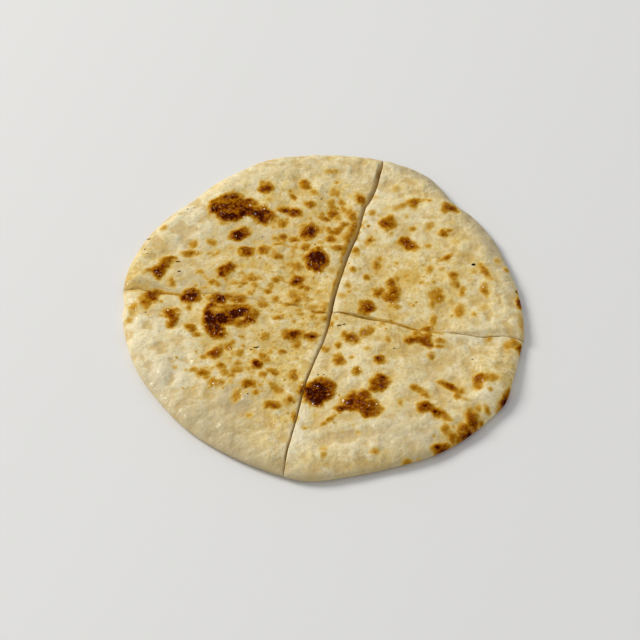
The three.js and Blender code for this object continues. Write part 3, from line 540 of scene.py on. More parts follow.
def bubbles(x, y, cell, share, seed):
    """Low domes of 0 to about 0.8, in that share of the cells of a jittered grid: a dome is its radius
    r in cells times (1 - (d / r)^2)^1.5, with d the distance from its middle."""
    rng = np.random.default_rng(seed)
    jitter_x, jitter_y, present, width = rng.uniform(0, 1, (4, LATTICE, LATTICE))
    i, j = np.floor(x / cell).astype(int), np.floor(y / cell).astype(int)
    least, more = BUBBLE_REACH
    height = np.zeros_like(x)
    for a in (-1, 0, 1):
        for b in (-1, 0, 1):
            ci, cj = (i + a) % LATTICE, (j + b) % LATTICE
            away_x = x / cell - (i + a + jitter_x[ci, cj])
            away_y = y / cell - (j + b + jitter_y[ci, cj])
            reach = least + more * width[ci, cj]
            dome = np.clip(1 - (away_x ** 2 + away_y ** 2) / reach ** 2, 0, 1) ** BUBBLE_POWER * reach
            height = np.maximum(height, np.where(present[ci, cj] < share, dome, 0))
    return height


def across_mark(mark, x, y):
    """Distance from a mark's middle, as a share of its half length and half width."""
    middle_x, middle_y, length, width, turn = mark[:5]
    c, s = math.cos(math.radians(turn)), math.sin(math.radians(turn))
    along = c * (x - middle_x) + s * (y - middle_y)
    side = c * (y - middle_y) - s * (x - middle_x)
    return np.hypot(2 * along / length, 2 * side / width)


def bell_sum(marks, x, y):
    """Sum of rounded bells, height times exp(-r^2), r as a share of each mark's half sizes."""
    total = np.zeros_like(x)
    for mark in marks:
        total += mark[5] * np.exp(-across_mark(mark, x, y) ** 2)
    return total


# ---- Form of the bread ----

def catmull_rom(a, b, c, d, t):
    """The curve from b to c, t going from 0 to 1, with the slope (c - a) / 2 at b and (d - b) / 2 at c."""
    return b + 0.5 * t * (c - a + t * (2 * a - 5 * b + 4 * c - d + t * (3 * (b - c) + d - a)))


def rim_radius(bearing):
    """Radius of the rim at a bearing: a periodic Catmull-Rom curve through RIM_RADII, and the lumps."""
    degrees = np.degrees(bearing) % 360
    step = np.floor(degrees / RIM_STEP).astype(int)
    four = (RIM_RADII[(step + offset) % len(RIM_RADII)] for offset in (-1, 0, 1, 2))
    radius = catmull_rom(*four, degrees / RIM_STEP - step)
    for middle, half_width, height in RIM_LUMPS:
        radius = radius + height * np.exp(-((degrees - middle) / half_width) ** 2)
    return radius


def rim_inset(x, y):
    """How far a point is inside the rim, along its bearing."""
    return rim_radius(np.arctan2(y, x)) - np.hypot(x, y)


def top_height(x, y, settling):
    """Thickness of the bread at a point: the crumb, the puffed border, slow waves and blisters."""
    bearing = np.arctan2(y, x)
    lumpy = 1 + sum(share * np.sin(count * bearing + phase) for count, phase, share in PUFF_LUMPS)
    border = np.exp(-((rim_inset(x, y) - PUFF_INSET) / PUFF_WIDTH) ** 2)
    height = CRUMB_THICKNESS + PUFF_HEIGHT * lumpy * border
    for length, turn, phase, rise in WAVES:
        run = x * math.cos(math.radians(turn)) + y * math.sin(math.radians(turn))
        height += rise * np.sin(2 * math.pi * run / length + phase)
    return height + bell_sum(BLISTERS + settling, x, y)


def step_down(name, cut, x, y):
    """How much lower the quarter across the side cut has settled. No long cut has such a step."""
    if cut == LONG or name not in OPPOSITE:
        return np.zeros_like(x)
    own, other = (bell_sum(SETTLING[quarter], x, y) for quarter in (name, OPPOSITE[name]))
    return np.clip(own - other, 0, None)


def quarter_at(x, y):
    """Name of the quarter over which a point lies."""
    side_cuts = np.array(LEFT_CUT + RIGHT_CUT)
    long_cut = np.array(LONG_CUT_BACK + LONG_CUT_FRONT[1:])[::-1]
    row = "back" if y > np.interp(x, side_cuts[:, 0], side_cuts[:, 1]) else "front"
    side = "right" if x > np.interp(y, long_cut[:, 1], long_cut[:, 0]) else "left"
    return f"quarter_{row}_{side}"


# ---- The cuts, as lines of x, y and gap ----

def spline(points, steps):
    """Catmull-Rom curve through rows of numbers, with its end rows doubled. Its last point is a hair
    before the last row, so that a row always follows."""
    rows = np.array(points, float)
    padded = np.vstack([rows[:1], rows, rows[-1:]])
    t = np.linspace(0, len(rows) - 1, steps, endpoint=False)
    t = np.append(t, len(rows) - 1 - 1e-9)
    step = np.floor(t).astype(int)
    four = (padded[step + offset] for offset in range(4))
    return catmull_rom(*four, (t - step)[:, None])


def cut_line(cut, side, axis):
    """Points along one side of a cut, from past the hub to beyond the rim."""
    rows = np.array(cut, float)
    back = rows[0] + (rows[0] - rows[1]) * PAST_THE_HUB / np.hypot(*(rows[1] - rows[0])[:2])
    back[2] = GAP_PAST_THE_HUB
    rows = np.vstack([back, rows])
    rows[:, axis] -= side * rows[:, 2]
    line = spline(rows, CUT_POINTS)
    last = line[-1] - line[-2]
    return np.vstack([line, line[-1] + last * CUT_REACH / np.hypot(*last[:2])])


def run_along(line):
    """Distance run along a line at each of its points."""
    return np.concatenate([[0], np.cumsum(np.hypot(*np.diff(line[:, :2], axis=0).T))])


def crossing(first, second):
    """Where two lines first cross, as the distance run along each: p + t r = q + u s, with p and q the
    start and r and s the length of a stretch of each, solved for every pair of stretches at once."""
    p, r = first[:-1, None, :2], np.diff(first[:, :2], axis=0)[:, None]
    q, s = second[None, :-1, :2], np.diff(second[:, :2], axis=0)[None]
    turn = r[..., 0] * s[..., 1] - r[..., 1] * s[..., 0]
    gap = q - p
    t = (gap[..., 0] * s[..., 1] - gap[..., 1] * s[..., 0]) / turn
    u = (gap[..., 0] * r[..., 1] - gap[..., 1] * r[..., 0]) / turn
    i, j = np.argwhere((t >= 0) & (t <= 1) & (u >= 0) & (u <= 1))[0]
    first_run, second_run = run_along(first), run_along(second)
    return (first_run[i] + t[i, j] * (first_run[i + 1] - first_run[i]),
            second_run[j] + u[i, j] * (second_run[j + 1] - second_run[j]))


def from_hub_to_rim(line, start):
    """The part of a cut's line between the hub and the rim, at even steps of its length."""
    inside = rim_inset(line[:, 0], line[:, 1])
    run = run_along(line)
    leaving = np.nonzero((inside[:-1] > 0) & (inside[1:] <= 0))[0][-1]
    share = inside[leaving] / (inside[leaving] - inside[leaving + 1])
    end = run[leaving] + share * (run[leaving + 1] - run[leaving])
    at = start + (end - start) * SIDE_STEPS
    return np.stack([np.interp(at, run, line[:, k]) for k in range(3)], axis=1)


def quarter_sides(name):
    """The long and the side cut of a quarter, each from where they cross to the rim."""
    lines = [cut_line(cut, side, axis) for axis, (cut, side) in enumerate(QUARTERS[name])]
    return [from_hub_to_rim(line, start) for line, start in zip(lines, crossing(*lines))]


def rim_bearings(sides):
    """Bearings of the long and the side cut at the rim, less than half a turn apart."""
    start, end = (np.arctan2(side[-1, 1], side[-1, 0]) for side in sides)
    return start, start + (end - start + math.pi) % (2 * math.pi) - math.pi


# ---- Browning with its painted light, and relief ----

def toast_zone(x, y):
    """How much the dough is toasted between the marks, 0 to 1."""
    return np.clip(sum(strength * np.exp(-((x - middle_x) ** 2 + (y - middle_y) ** 2) / reach ** 2)
                       for middle_x, middle_y, reach, strength in TOAST_ZONES), 0, 1)


def freckle_marks():
    """Small round marks, scattered by a seeded draw and kept where the dough is toasted."""
    rng = np.random.default_rng(FRECKLE_SEED)
    x, y = rng.uniform(-FRECKLE_FIELD, FRECKLE_FIELD, (2, FRECKLE_COUNT))
    length = FRECKLE_LENGTH[0] + FRECKLE_LENGTH[1] * rng.uniform(0, 1, FRECKLE_COUNT) ** 3
    width = length * rng.uniform(*FRECKLE_ROUND, FRECKLE_COUNT)
    turn = rng.uniform(0, 180, FRECKLE_COUNT)
    dark = rng.uniform(*FRECKLE_DARKNESS, FRECKLE_COUNT)
    kept = rng.uniform(*FRECKLE_CHANCE, FRECKLE_COUNT) < toast_zone(x, y)
    return list(np.stack([x, y, length, width, turn, dark], axis=1)[kept])


def browning_and_painted_light(x, y):
    """How dark the crust is baked, at flat arrays of points: 0 for pale dough to about 1 for burnt. A
    few thin marks along the cuts are painted shadow of the gaps, and one pale spot is a painted highlight.

    The strongest mark counts. Its darkness is its full one times 3t^2 - 2t^3, with t going from 0 at
    the outside of its golden halo, over its uneven edge, to 1 towards its middle. Between the marks
    the toasted zones have soft golden blotches."""
    x, y = x - SPOT_ORIGIN[0], y - SPOT_ORIGIN[1]
    shift_x, shift_y = (MARK_SHIFT * layered_noise(x, y, *noise) for noise in MARK_SHIFTS)
    frays = layered_noise(x, y, *MARK_FRAYS)
    brown = np.zeros_like(x)
    for mark in [*(spot for group in SPOTS.values() for spot in group), *freckle_marks()]:
        middle_x, middle_y, length, width, _, dark = mark
        half = 0.5 * min(length, width)
        reach = 0.5 * max(length, width) + MARK_MARGIN
        near = np.nonzero((np.abs(x - middle_x) < reach) & (np.abs(y - middle_y) < reach))[0]
        loose, fray, halo, deep = (
            min(most, least + more * half)
            for least, more, most in (MARK_LOOSE, MARK_FRAY, MARK_HALO, MARK_DEPTH)
        )
        across = across_mark(mark, x[near] + loose * shift_x[near], y[near] + loose * shift_y[near])
        inside = (1 - across) * half + fray * frays[near]
        t = np.clip((inside + halo) / (halo + deep), 0, 1)
        brown[near] = np.maximum(brown[near], dark * t * t * (3 - 2 * t))
    brown *= 1 + MARK_PATCHY * layered_noise(x, y, *MARK_PATCHES)
    for mark in PALE_CRUST_AND_GLINT:
        brown -= mark[5] * np.exp(-across_mark(mark, x, y) ** 2)
    zone = toast_zone(x, y)
    blotch = BLOTCH_CONTRAST * layered_noise(x, y, *BLOTCHES) + BLOTCH_ZONE * zone - BLOTCH_LEVEL
    return np.clip(np.maximum(brown, BLOTCH_DARKNESS * np.clip(blotch, 0, 1) * zone), 0, None)


def puckers(x, y):
    """The puffs, lumps, bubbles and wrinkles of the dough, stronger towards the rim."""
    border = np.clip(1 - rim_inset(x, y) / RELIEF_BORDER, 0, 1)
    puff, lump, bubble, wrinkle = (
        middle + more * border
        for middle, more in (PUFF_RELIEF, LUMP_RELIEF, BUBBLE_RELIEF, WRINKLE_RELIEF)
    )
    return (
        puff * billows(x, y, *PUFFS)
        + lump * layered_noise(x, y, *LUMPS)
        + bubble * bubbles(x, y, *BUBBLES)
        + wrinkle * billows(x, y, *WRINKLES)
    )


def folds(x, y):
    """Height of the listed folds, ridges and hollows."""
    return bell_sum(FOLDS, x - SPOT_ORIGIN[0], y - SPOT_ORIGIN[1])


def painted_crease_shade(x, y):
    """How much painted shade a point's colour takes, 0 to 1: more in a hollow, less on a puff."""
    return np.clip(CREASE_SHADE_LEVEL - CREASE_SHADE_GAIN * (puckers(x, y) + folds(x, y)), 0, 1)


def fine_relief(x, y, brown):
    """Height over the smooth form: broad unevenness, puckered dough, its skin, a grainy crust where it
    is browned, and the folds."""
    return (
        BROAD_HEIGHT * layered_noise(x, y, *BROAD_RISE) - BROAD_DROP
        + puckers(x, y)
        + SKIN_HEIGHT * layered_noise(x, y, *DOUGH_SKIN)
        + np.clip(brown, 0, 1) * (GRAIN_HEIGHT * layered_noise(x, y, *CRUST_GRAIN) + CRUST_RISE)
        + folds(x, y)
    )


def crust_height(x, y, settling):
    """Height of the top away from the cuts, and how far up the rounded edge it stands, 0 to 1: the
    form times a quarter ellipse from the widest line to the top, plus the relief, which fades out
    with the square of the standing."""
    form = top_height(x, y, settling)
    share = np.clip(1 - rim_inset(x, y) / NOSE_OVER, 0, 1)
    z = form * (NOSE_SHARE + (1 - NOSE_SHARE) * np.sqrt(1 - share ** 2))
    standing = np.clip(z / form, 0, 1)
    brown = browning_and_painted_light(x.ravel(), y.ravel()).reshape(x.shape)
    return z + fine_relief(x, y, brown) * standing ** 2, standing


# ---- Surfaces ----

def grid_faces(rows, columns, flipped=False):
    """Corner numbers of the triangles of a grid whose points are numbered row by row."""
    i, j = np.meshgrid(np.arange(rows - 1), np.arange(columns - 1), indexing="ij")
    a = (i * columns + j).ravel()
    b, c, d = a + 1, a + columns + 1, a + columns
    faces = np.vstack([np.stack([a, b, c], axis=1), np.stack([a, c, d], axis=1)])
    return faces[:, ::-1] if flipped else faces


def grid_patch(rows, flipped):
    """Points and triangles of a grid of points."""
    return rows.reshape(-1, rows.shape[-1]), grid_faces(*rows.shape[:2], flipped=flipped)


def stitch_patch(fine, coarse, flipped):
    """Points and triangles between a row of points and one with every UNDER_SKIP-th of them: a fan
    from each coarse point to the fine ones nearest to it, and a bridge between every two fans."""
    number = np.arange(COLUMNS)
    late = number % UNDER_SKIP >= UNDER_SKIP // 2
    fans = np.stack([number, number + 1, len(fine) + number // UNDER_SKIP + late], axis=1)
    middle = np.arange(COLUMNS // UNDER_SKIP)
    start = len(fine) + middle
    bridges = np.stack([start, middle * UNDER_SKIP + UNDER_SKIP // 2, start + 1], axis=1)
    faces = np.vstack([fans, bridges])
    return np.vstack([fine, coarse]), faces[:, ::-1] if flipped else faces


def welded(patches):
    """One mesh of several patches of points and faces: points less than a micrometre apart become
    one, and faces that lose a corner by it are dropped. A point's first three numbers are its place."""
    points = np.vstack([patch[0] for patch in patches])
    starts = np.cumsum([0] + [len(patch[0]) for patch in patches[:-1]])
    faces = np.vstack([patch[1] + start for patch, start in zip(patches, starts)])
    places = np.round(points[:, :3], 3)
    _, kept, number = np.unique(places, axis=0, return_index=True, return_inverse=True)
    faces = number.ravel()[faces]
    whole = (faces[:, 0] != faces[:, 1]) & (faces[:, 1] != faces[:, 2]) & (faces[:, 2] != faces[:, 0])
    return points[kept], faces[whole]


def row_shares(length, inset):
    """Shares of the way from the hub to the rim for rows of points: even ones up to that inset, and
    then ones that follow a sine, closer and closer towards the rim."""
    flat = np.linspace(0, 1, ROWS + 1)[:-1]
    turns = np.sin(np.linspace(0, math.pi / 2, NOSE_ROWS + 1))
    return np.append(flat * (1 - inset / length), 1 - inset / length * (1 - turns))


def quarter_plan(sides, out):
    """A quarter seen from above: x, y, the gap at each of its cuts and the distance from each, for a
    row of points at each share of the way out.

    A point is the blend of the two cuts at its share of the way from hub to rim, plus that share of
    the rim's bow over the chord between the cuts' ends. A few columns lie close to each cut, and the
    rest are even."""
    apart = np.hypot(*(sides[0][:, :2] - sides[1][:, :2]).T)
    width = np.maximum(np.interp(out, SIDE_STEPS, apart), HUB_WIDTH)[:, None]
    close = np.minimum(CLOSE_COLUMNS / width, CLOSE_SHARE * np.arange(len(CLOSE_COLUMNS)))
    even = np.linspace(0, 1, COLUMNS + 3 - 2 * len(CLOSE_COLUMNS))[1:-1]
    across = np.hstack([close, close[:, -1:] + (1 - 2 * close[:, -1:]) * even, 1 - close[:, ::-1]])
    first, second = (
        np.stack([np.interp(out, SIDE_STEPS, side[:, k]) for k in range(3)], axis=-1)[:, None]
        for side in sides
    )
    start, end = rim_bearings(sides)
    bearing = start + across * (end - start)
    rim = rim_radius(bearing)
    place = []
    for axis, turned in enumerate((np.cos(bearing), np.sin(bearing))):
        bow = rim * turned - (1 - across) * sides[0][-1, axis] - across * sides[1][-1, axis]
        blend = (1 - across) * first[..., axis] + across * second[..., axis]
        place.append(blend + out[:, None] * bow)
    gaps = [np.broadcast_to(side[..., 2], across.shape) for side in (first, second)]
    return *place, gaps, (width * across, width * (1 - across))


def droops(name, cut):
    """Whether a quarter's edge droops into that cut."""
    return QUARTERS[name][cut][1] == DROOPING_SIDE[cut]


def top_sheet(name, sides, out):
    """Rows of points over the top of a quarter.

    Along a crisp edge the top is lower by a quarter circle. Along a drooping edge it is lower by the
    droop's depth times the power of 1 - distance / width, and crumb shows there in the same share, in
    the crumb's dark colour, which is painted shade, less where the step down to the quarter opposite
    has stretched the crust. Everything over LOW_PEAK is pressed down by a hyperbolic tangent, so that
    nothing reaches TOP_PEAK."""
    x, y, gaps, away = quarter_plan(sides, out)
    z, standing = crust_height(x, y, SETTLING[name])
    crust = np.ones_like(x)
    for cut in (LONG, SIDE):
        if droops(name, cut):
            step = step_down(name, cut, x, y)
            width, depth, crumb_shade_share = (
                least + more * gaps[cut]
                for least, more in (DROOP_WIDTH[cut], DROOP_DEPTH[cut], DROOP_CRUMB_SHADE[cut])
            )
            share = np.clip(1 - away[cut] / (width + SINK_WIDTH * step), 0, 1)
            z = z - (depth + SINK_SHARE * step) * standing * share ** DROOP_POWER
            crust = crust * (1 - crumb_shade_share * (1 - STRETCHED_CRUST * np.clip(step, 0, 1)) * share)
        else:
            share = np.clip(1 - away[cut] / CRISP_EDGE, 0, 1)
            z = z - CRISP_EDGE * standing * (1 - np.sqrt(1 - share ** 2))
        z = z - ROLL_DEPTH[cut] * standing * np.clip(1 - away[cut] / ROLL_WIDTH, 0, 1) ** 2
    over = np.clip(z - LOW_PEAK, 0, None) / (TOP_PEAK - LOW_PEAK)
    z = np.minimum(z, LOW_PEAK) + (TOP_PEAK - LOW_PEAK) * np.tanh(over)
    return np.stack([x, y, z, *gaps, *away, crust], axis=-1)


def under_sheet(name, sides, out):
    """Rows of points under a quarter: flat, and a quarter ellipse up to the rim's widest line."""
    x, y, gaps, away = quarter_plan(sides, out)
    share = np.clip(1 - rim_inset(x, y) / NOSE_UNDER, 0, 1)
    z = top_height(x, y, SETTLING[name]) * NOSE_SHARE * (1 - np.sqrt(1 - share ** 2))
    return np.stack([x, y, z, *gaps, *away, np.ones_like(x)], axis=-1)


def cut_wall(name, cut, top, under):
    """Rows of points down a cut, straight from the edge of the top to that of the underside. Its crust
    fades to crumb as exp(-depth / CRUST_DEPTH), but a stretched wall keeps some."""
    down = np.linspace(0, 1, WALL_ROWS + 1)[:, None, None] ** WALL_POWER
    wall = top * (1 - down) + under * down
    kept = STRETCHED_CRUST * np.clip(step_down(name, cut, top[:, 0], top[:, 1]), 0, 1)
    fading = np.exp(-(top[:, 2] - wall[1:-1, :, 2]) / CRUST_DEPTH)
    wall[1:-1, :, CRUST] = top[:, CRUST] * np.maximum(fading, kept)
    return wall


def lean_walls(name, points):
    """Moves the points of a drooping quarter's walls out, across the gap.

    The move is the gap less LEAST_GAP, times a share that goes evenly from 0 to 1 between two depths
    under the top, and times 1 - distance / LEAN_REACH away from the cut."""
    x, y, z = points[:, 0].copy(), points[:, 1].copy(), points[:, 2]
    form = top_height(x, y, SETTLING[name])
    depth = np.clip(1 - z / form, 0, 1)
    for cut in (LONG, SIDE):
        if not droops(name, cut):
            continue
        step = step_down(name, cut, x, y)
        if cut == LONG:
            gentle = np.clip(rim_inset(x, y) / LEAN_BORDER, 0, 1)
        else:
            gentle = np.clip(points[:, GAP + cut] - NARROW_GAP, 0, 1) * np.clip(1 - step, 0, 1)
        least, most = LEAN_DEPTH[cut]
        start = LEAN_START + SINK_SHARE * step / form
        span = least + (most - least) * gentle + (1 - SINK_SHARE) * step / form
        lean = np.clip((depth - start) / span, 0, 1)
        lean *= np.clip(1 - points[:, AWAY + cut] / LEAN_REACH, 0, 1)
        points[:, cut] += LEAN_WAY[cut] * lean * np.clip(points[:, GAP + cut] - LEAST_GAP, 0, None)


def quarter_surface(name):
    """Points in millimetres, triangles and the share of crust over crumb of one quarter: its top and
    its underside, which meet at the rim's widest line, and a wall down each cut. The flat of the
    underside has fewer columns, and a row of stitches joins it to the rest. The faces of a patch are
    flipped where its grid runs the other way round, so that all of them point outwards."""
    sides = quarter_sides(name)
    long_bearing, side_bearing = rim_bearings(sides)
    turns_left = side_bearing > long_bearing
    length = np.hypot(*(sides[LONG][-1, :2] - sides[LONG][0, :2]))
    top = top_sheet(name, sides, row_shares(length, NOSE_OVER))
    under = under_sheet(name, sides, row_shares(length, NOSE_UNDER))
    under[-1] = top[-1]
    coarse = under[:ROWS, ::UNDER_SKIP]
    patches = [
        grid_patch(top, turns_left),
        grid_patch(under[ROWS:], not turns_left),
        grid_patch(coarse, not turns_left),
        stitch_patch(under[ROWS], coarse[-1], turns_left),
    ]
    for cut, column, flipped in ((LONG, 0, turns_left), (SIDE, -1, not turns_left)):
        wall = cut_wall(name, cut, top[:, column], under[:, column])
        patches.append(grid_patch(wall, flipped))
    points, faces = welded(patches)
    lean_walls(name, points)
    return points[:, :3], faces, points[:, CRUST]


def fleck_surface():
    """Points, triangles and char of the flecks. Each is a low uneven button: rings of points round a
    middle, x and y its half sizes times the sine of the polar angle, z its height times the cosine,
    each radius a little off at random. A bow bends it sideways by the square of the way along."""
    rng = np.random.default_rng(FLECK_SEED)
    bearing = np.linspace(0, 2 * math.pi, FLECK_POINTS + 1)
    polar = np.linspace(0, math.pi, FLECK_RINGS + 1)[:, None]
    patches = []
    for middle_x, middle_y, length, width, turn, bow, char in FLECKS:
        ragged = rng.uniform(*FLECK_RAGGED, FLECK_POINTS)
        ragged = np.append(ragged, ragged[0])
        along = 0.5 * length * np.sin(polar) * np.cos(bearing) * ragged
        side = 0.5 * width * np.sin(polar) * np.sin(bearing) * ragged
        side = side + bow * (2 * along / length) ** 2
        rise = np.broadcast_to(FLECK_HALF_HEIGHT * np.cos(polar), along.shape)
        c, s = math.cos(math.radians(turn)), math.sin(math.radians(turn))
        x = middle_x + SPOT_ORIGIN[0] + c * along - s * side
        y = middle_y + SPOT_ORIGIN[1] + s * along + c * side
        quarter = quarter_at(x[0, 0], y[0, 0])
        crust = crust_height(x[0, :1], y[0, :1], SETTLING[quarter])[0]
        rows = np.stack([x, y, crust + FLECK_SEAT + rise, np.full_like(x, char)], axis=-1)
        patches.append(grid_patch(rows, False))
    points, faces = welded(patches)
    return points[:, :3], faces, points[:, 3]


def mesh_object(name, points, faces, material):
    """A new object from points in millimetres and triangles, all of them smooth, with the middle of
    the bread's footprint moved to the origin."""
    placed = points - np.append(OUTLINE_MIDDLE, 0)
    mesh = bpy.data.meshes.new(name)
    mesh.vertices.add(len(placed))
    mesh.vertices.foreach_set("co", (placed * MM).astype(np.float32).ravel())
    mesh.loops.add(faces.size)
    mesh.loops.foreach_set("vertex_index", faces.astype(np.int32).ravel())
    mesh.polygons.add(len(faces))
    mesh.polygons.foreach_set("loop_start", np.arange(0, faces.size, 3, dtype=np.int32))
    mesh.polygons.foreach_set("use_smooth", np.ones(len(faces), bool))
    mesh.update(calc_edges=True)
    mesh.validate()
    mesh.materials.append(material)
    piece = bpy.data.objects.new(name, mesh)
    bpy.context.scene.collection.objects.link(piece)
    return piece


def add_attribute(mesh, name, values):
    """A number for each point of the mesh, for the material to read."""
    attribute = mesh.attributes.new(name, "FLOAT", "POINT")
    attribute.data.foreach_set("value", values.astype(np.float32))


# ---- Materials ----

def linear(hex_colour):
    """The linear RGB of an sRGB hex value."""
    parts = np.array([int(hex_colour[i:i + 2], 16) for i in (1, 3, 5)]) / 255
    return tuple(np.where(parts <= 0.04045, parts / 12.92, ((parts + 0.055) / 1.055) ** 2.4))


# Noises of the crust's colour, gloss and finest relief: size in mm, detail, roughness.
CRUST_NOISES = {
    "cloud": (18, 3, 0.6),          # slow change from plain to creamy dough
    "streak": (8, 3, 0.6),          # where butter soaked in, or flour stayed on
    "patch": (4.2, 5, 0.65),        # mottling of small puffs and hollows
    "speck": (1.8, 4, 0.7),         # flour and toast specks; real ones are 0.2 mm, too fine to show
    "grain": (1.7, 4, 0.75),        # scorched grain, real 0.5 mm, drawn coarser so as to show
    "pore": (1.3, 2, 0.6),          # pinholes where steam broke the skin
    "clump": (4, 3, 0.6),           # darker and lighter clumps inside a browned mark
    "smear": (7, 2, 0.6),           # where the film of butter is thicker
    "droplet": (1.5, 1, 0.6),       # beads of butter that glint on the dark crust
}
STROKE_SIZE = 1.7                   # ripples of the butter film, in mm
STROKE_STRETCH = (1.0, 0.4, 1.0)    # drawn out along y, the way the butter was brushed on

# The crust from golden to burnt: how far it is baked, and its colour there.
BAKED_COLOURS = (
    (0.14, linear("#d3ab58")),
    (0.34, linear("#c9952f")),
    (0.55, linear("#b4760c")),
    (0.74, linear("#984f00")),
    (0.89, linear("#702d00")),
    (1.00, linear("#451200")),
)
# A fleck from toasted to charred.
CHAR_COLOURS = ((0.0, linear("#8a6424")), (0.5, linear("#4a2f0c")), (1.0, linear("#1c0f04")))
CHAR_GRAIN = 0.8                    # in mm

SMOOTH = {"interpolation_type": "SMOOTHSTEP"}          # of a range that starts and ends softly
# Sockets of a mix of colours: the share of the upper one, the two colours, and the output.
MIX_SHARE, MIX_UNDER, MIX_OVER = 0, 6, 7
MIX_RESULT = 2


def new_material(name):
    """A material without nodes, and its node tree."""
    material = bpy.data.materials.new(name)
    material.use_nodes = True
    material.node_tree.nodes.clear()
    return material, material.node_tree


def add_node(tree, kind, inputs=(), output=0, stops=(), **settings):
    """Adds a node, with its settings, the stops of its ramp, and its inputs as values or links, in
    order or by name. Returns the output that is asked for."""
    node = tree.nodes.new(kind)
    for name, value in settings.items():
        setattr(node, name, value)
    if stops:
        ramp = node.color_ramp
        while len(ramp.elements) < len(stops):
            ramp.elements.new(1.0)
        for element, (position, colour) in zip(ramp.elements, stops):
            element.position = position
            element.color = (*colour, 1.0)
    for name, value in inputs.items() if isinstance(inputs, dict) else enumerate(inputs):
        if isinstance(value, bpy.types.NodeSocket):
            tree.links.new(value, node.inputs[name])
        else:
            node.inputs[name].default_value = value
    return None if output is None else node.outputs[output]


def crust_sources(tree):
    """The outputs that the crust's colour and gloss follow, by name: the place, the surface's own
    attributes and the noises."""
    place = add_node(tree, "ShaderNodeTexCoord", output="Object")
    sources = {"place": place}
    for name in ("browning_and_painted_light", "crumb", "crease_shade", *TINT_ZONES):
        sources[name] = add_node(tree, "ShaderNodeAttribute", output="Fac", attribute_name=name)
    for name, (size, detail, roughness) in CRUST_NOISES.items():
        sources[name] = add_node(tree, "ShaderNodeTexNoise", {
            "Vector": place, "Scale": 1 / (size * MM), "Detail": detail, "Roughness": roughness,
        })
    return sources


def layered_dough(tree, sources, settings):
    """The colour of the dough under its browning: tints laid one over another. A tint's share is a
    source itself, or goes smoothly from the third to the fourth number, which may be a source too,
    while the source goes from the first to the second."""
    oily = add_node(tree, "ShaderNodeMapRange", (sources["butter"], 0.0, 0.7, 0.4, 0.95), **SMOOTH)
    speckled = add_node(tree, "ShaderNodeMath", (oily, 0.9), operation="MULTIPLY")
    layers = (
        ("cloud", (0.38, 0.62, 0.0, 1.0), settings.cream_colour),
        ("butter", None, settings.butter_colour),
        ("streak", (0.50, 0.68, 0.0, 0.6), settings.butter_colour),
        ("streak", (0.50, 0.32, 0.0, 0.6), settings.flour_and_highlight_colour),
        ("patch", (0.50, 0.68, 0.0, 0.55), settings.flour_and_highlight_colour),
        ("patch", (0.50, 0.32, 0.0, oily), settings.toast_colour),
        ("speck", (0.52, 0.32, 0.0, speckled), settings.toast_colour),
        ("pore", (0.62, 0.73, 0.0, 0.9), settings.toast_colour),
        # pale dough, and painted highlight along the lit edges of the cuts
        ("flour_and_lit_edge", None, settings.flour_and_highlight_colour),
        # painted shade: a warm, darker tint in the hollows of the relief
        ("crease_shade", (0.45, 1.1, 0.0, 0.6), settings.crease_shade_colour),
        # mostly painted shade along the rim and in a hollow, from the zones above
        ("dull_and_shade", None, settings.dull_and_shade_colour),
        ("speck", (0.50, 0.30, 0.0, 0.45), settings.dull_and_shade_colour),
        ("patch", (0.52, 0.72, 0.0, 0.3), settings.flour_and_highlight_colour),
        ("browning_and_painted_light", (0.0, 0.18, 0.0, 0.65), settings.butter_colour),
        # the crumb in painted shade, far darker than crumb in light, as the cut walls look in the gaps
        ("crumb", None, settings.crumb_in_shade_colour),
    )
    dough = (*settings.dough_colour, 1)
    for name, steps, tint in layers:
        share = sources[name]
        if steps:
            share = add_node(tree, "ShaderNodeMapRange", (share, *steps), **SMOOTH)
        dough = add_node(tree, "ShaderNodeMix", {
            MIX_SHARE: share, MIX_UNDER: dough, MIX_OVER: (*tint, 1),
        }, MIX_RESULT, data_type="RGBA")
    return dough


def baked_level(tree, sources):
    """How far the crust is baked: the browning, plus scorched grain that grows with its square, soft
    clumps that grow with it, and paler crumbs on what is darkest, which are also painted glints on the dark
    crust."""
    brown = sources["browning_and_painted_light"]
    grains = add_node(tree, "ShaderNodeMapRange", (sources["grain"], 0.36, 0.64, -0.5, 0.5), **SMOOTH)
    square = add_node(tree, "ShaderNodeMath", (brown, brown), operation="MULTIPLY")
    strength = add_node(tree, "ShaderNodeMath", (square, 0.25, 0.05), operation="MULTIPLY_ADD")
    grown = add_node(tree, "ShaderNodeMath", (grains, strength), operation="MULTIPLY")
    shift = add_node(tree, "ShaderNodeMapRange", (brown, 0.02, 0.12, 0.0, grown), **SMOOTH)
    clump = add_node(tree, "ShaderNodeMath", (sources["clump"], 0.5), operation="SUBTRACT")
    weight = add_node(tree, "ShaderNodeMath", (brown, 0.9), operation="MULTIPLY")
    paler_and_glinting = add_node(tree, "ShaderNodeMapRange", (sources["pore"], 0.55, 0.67, 0.0, -0.4), **SMOOTH)
    pale_crumbs_and_glints = add_node(tree, "ShaderNodeMapRange", (brown, 0.6, 0.9, 0.0, paler_and_glinting), **SMOOTH)
    baked = add_node(tree, "ShaderNodeMath", (clump, weight, brown), operation="MULTIPLY_ADD")
    for part in (shift, pale_crumbs_and_glints):
        baked = add_node(tree, "ShaderNodeMath", (baked, part), operation="ADD")
    return baked


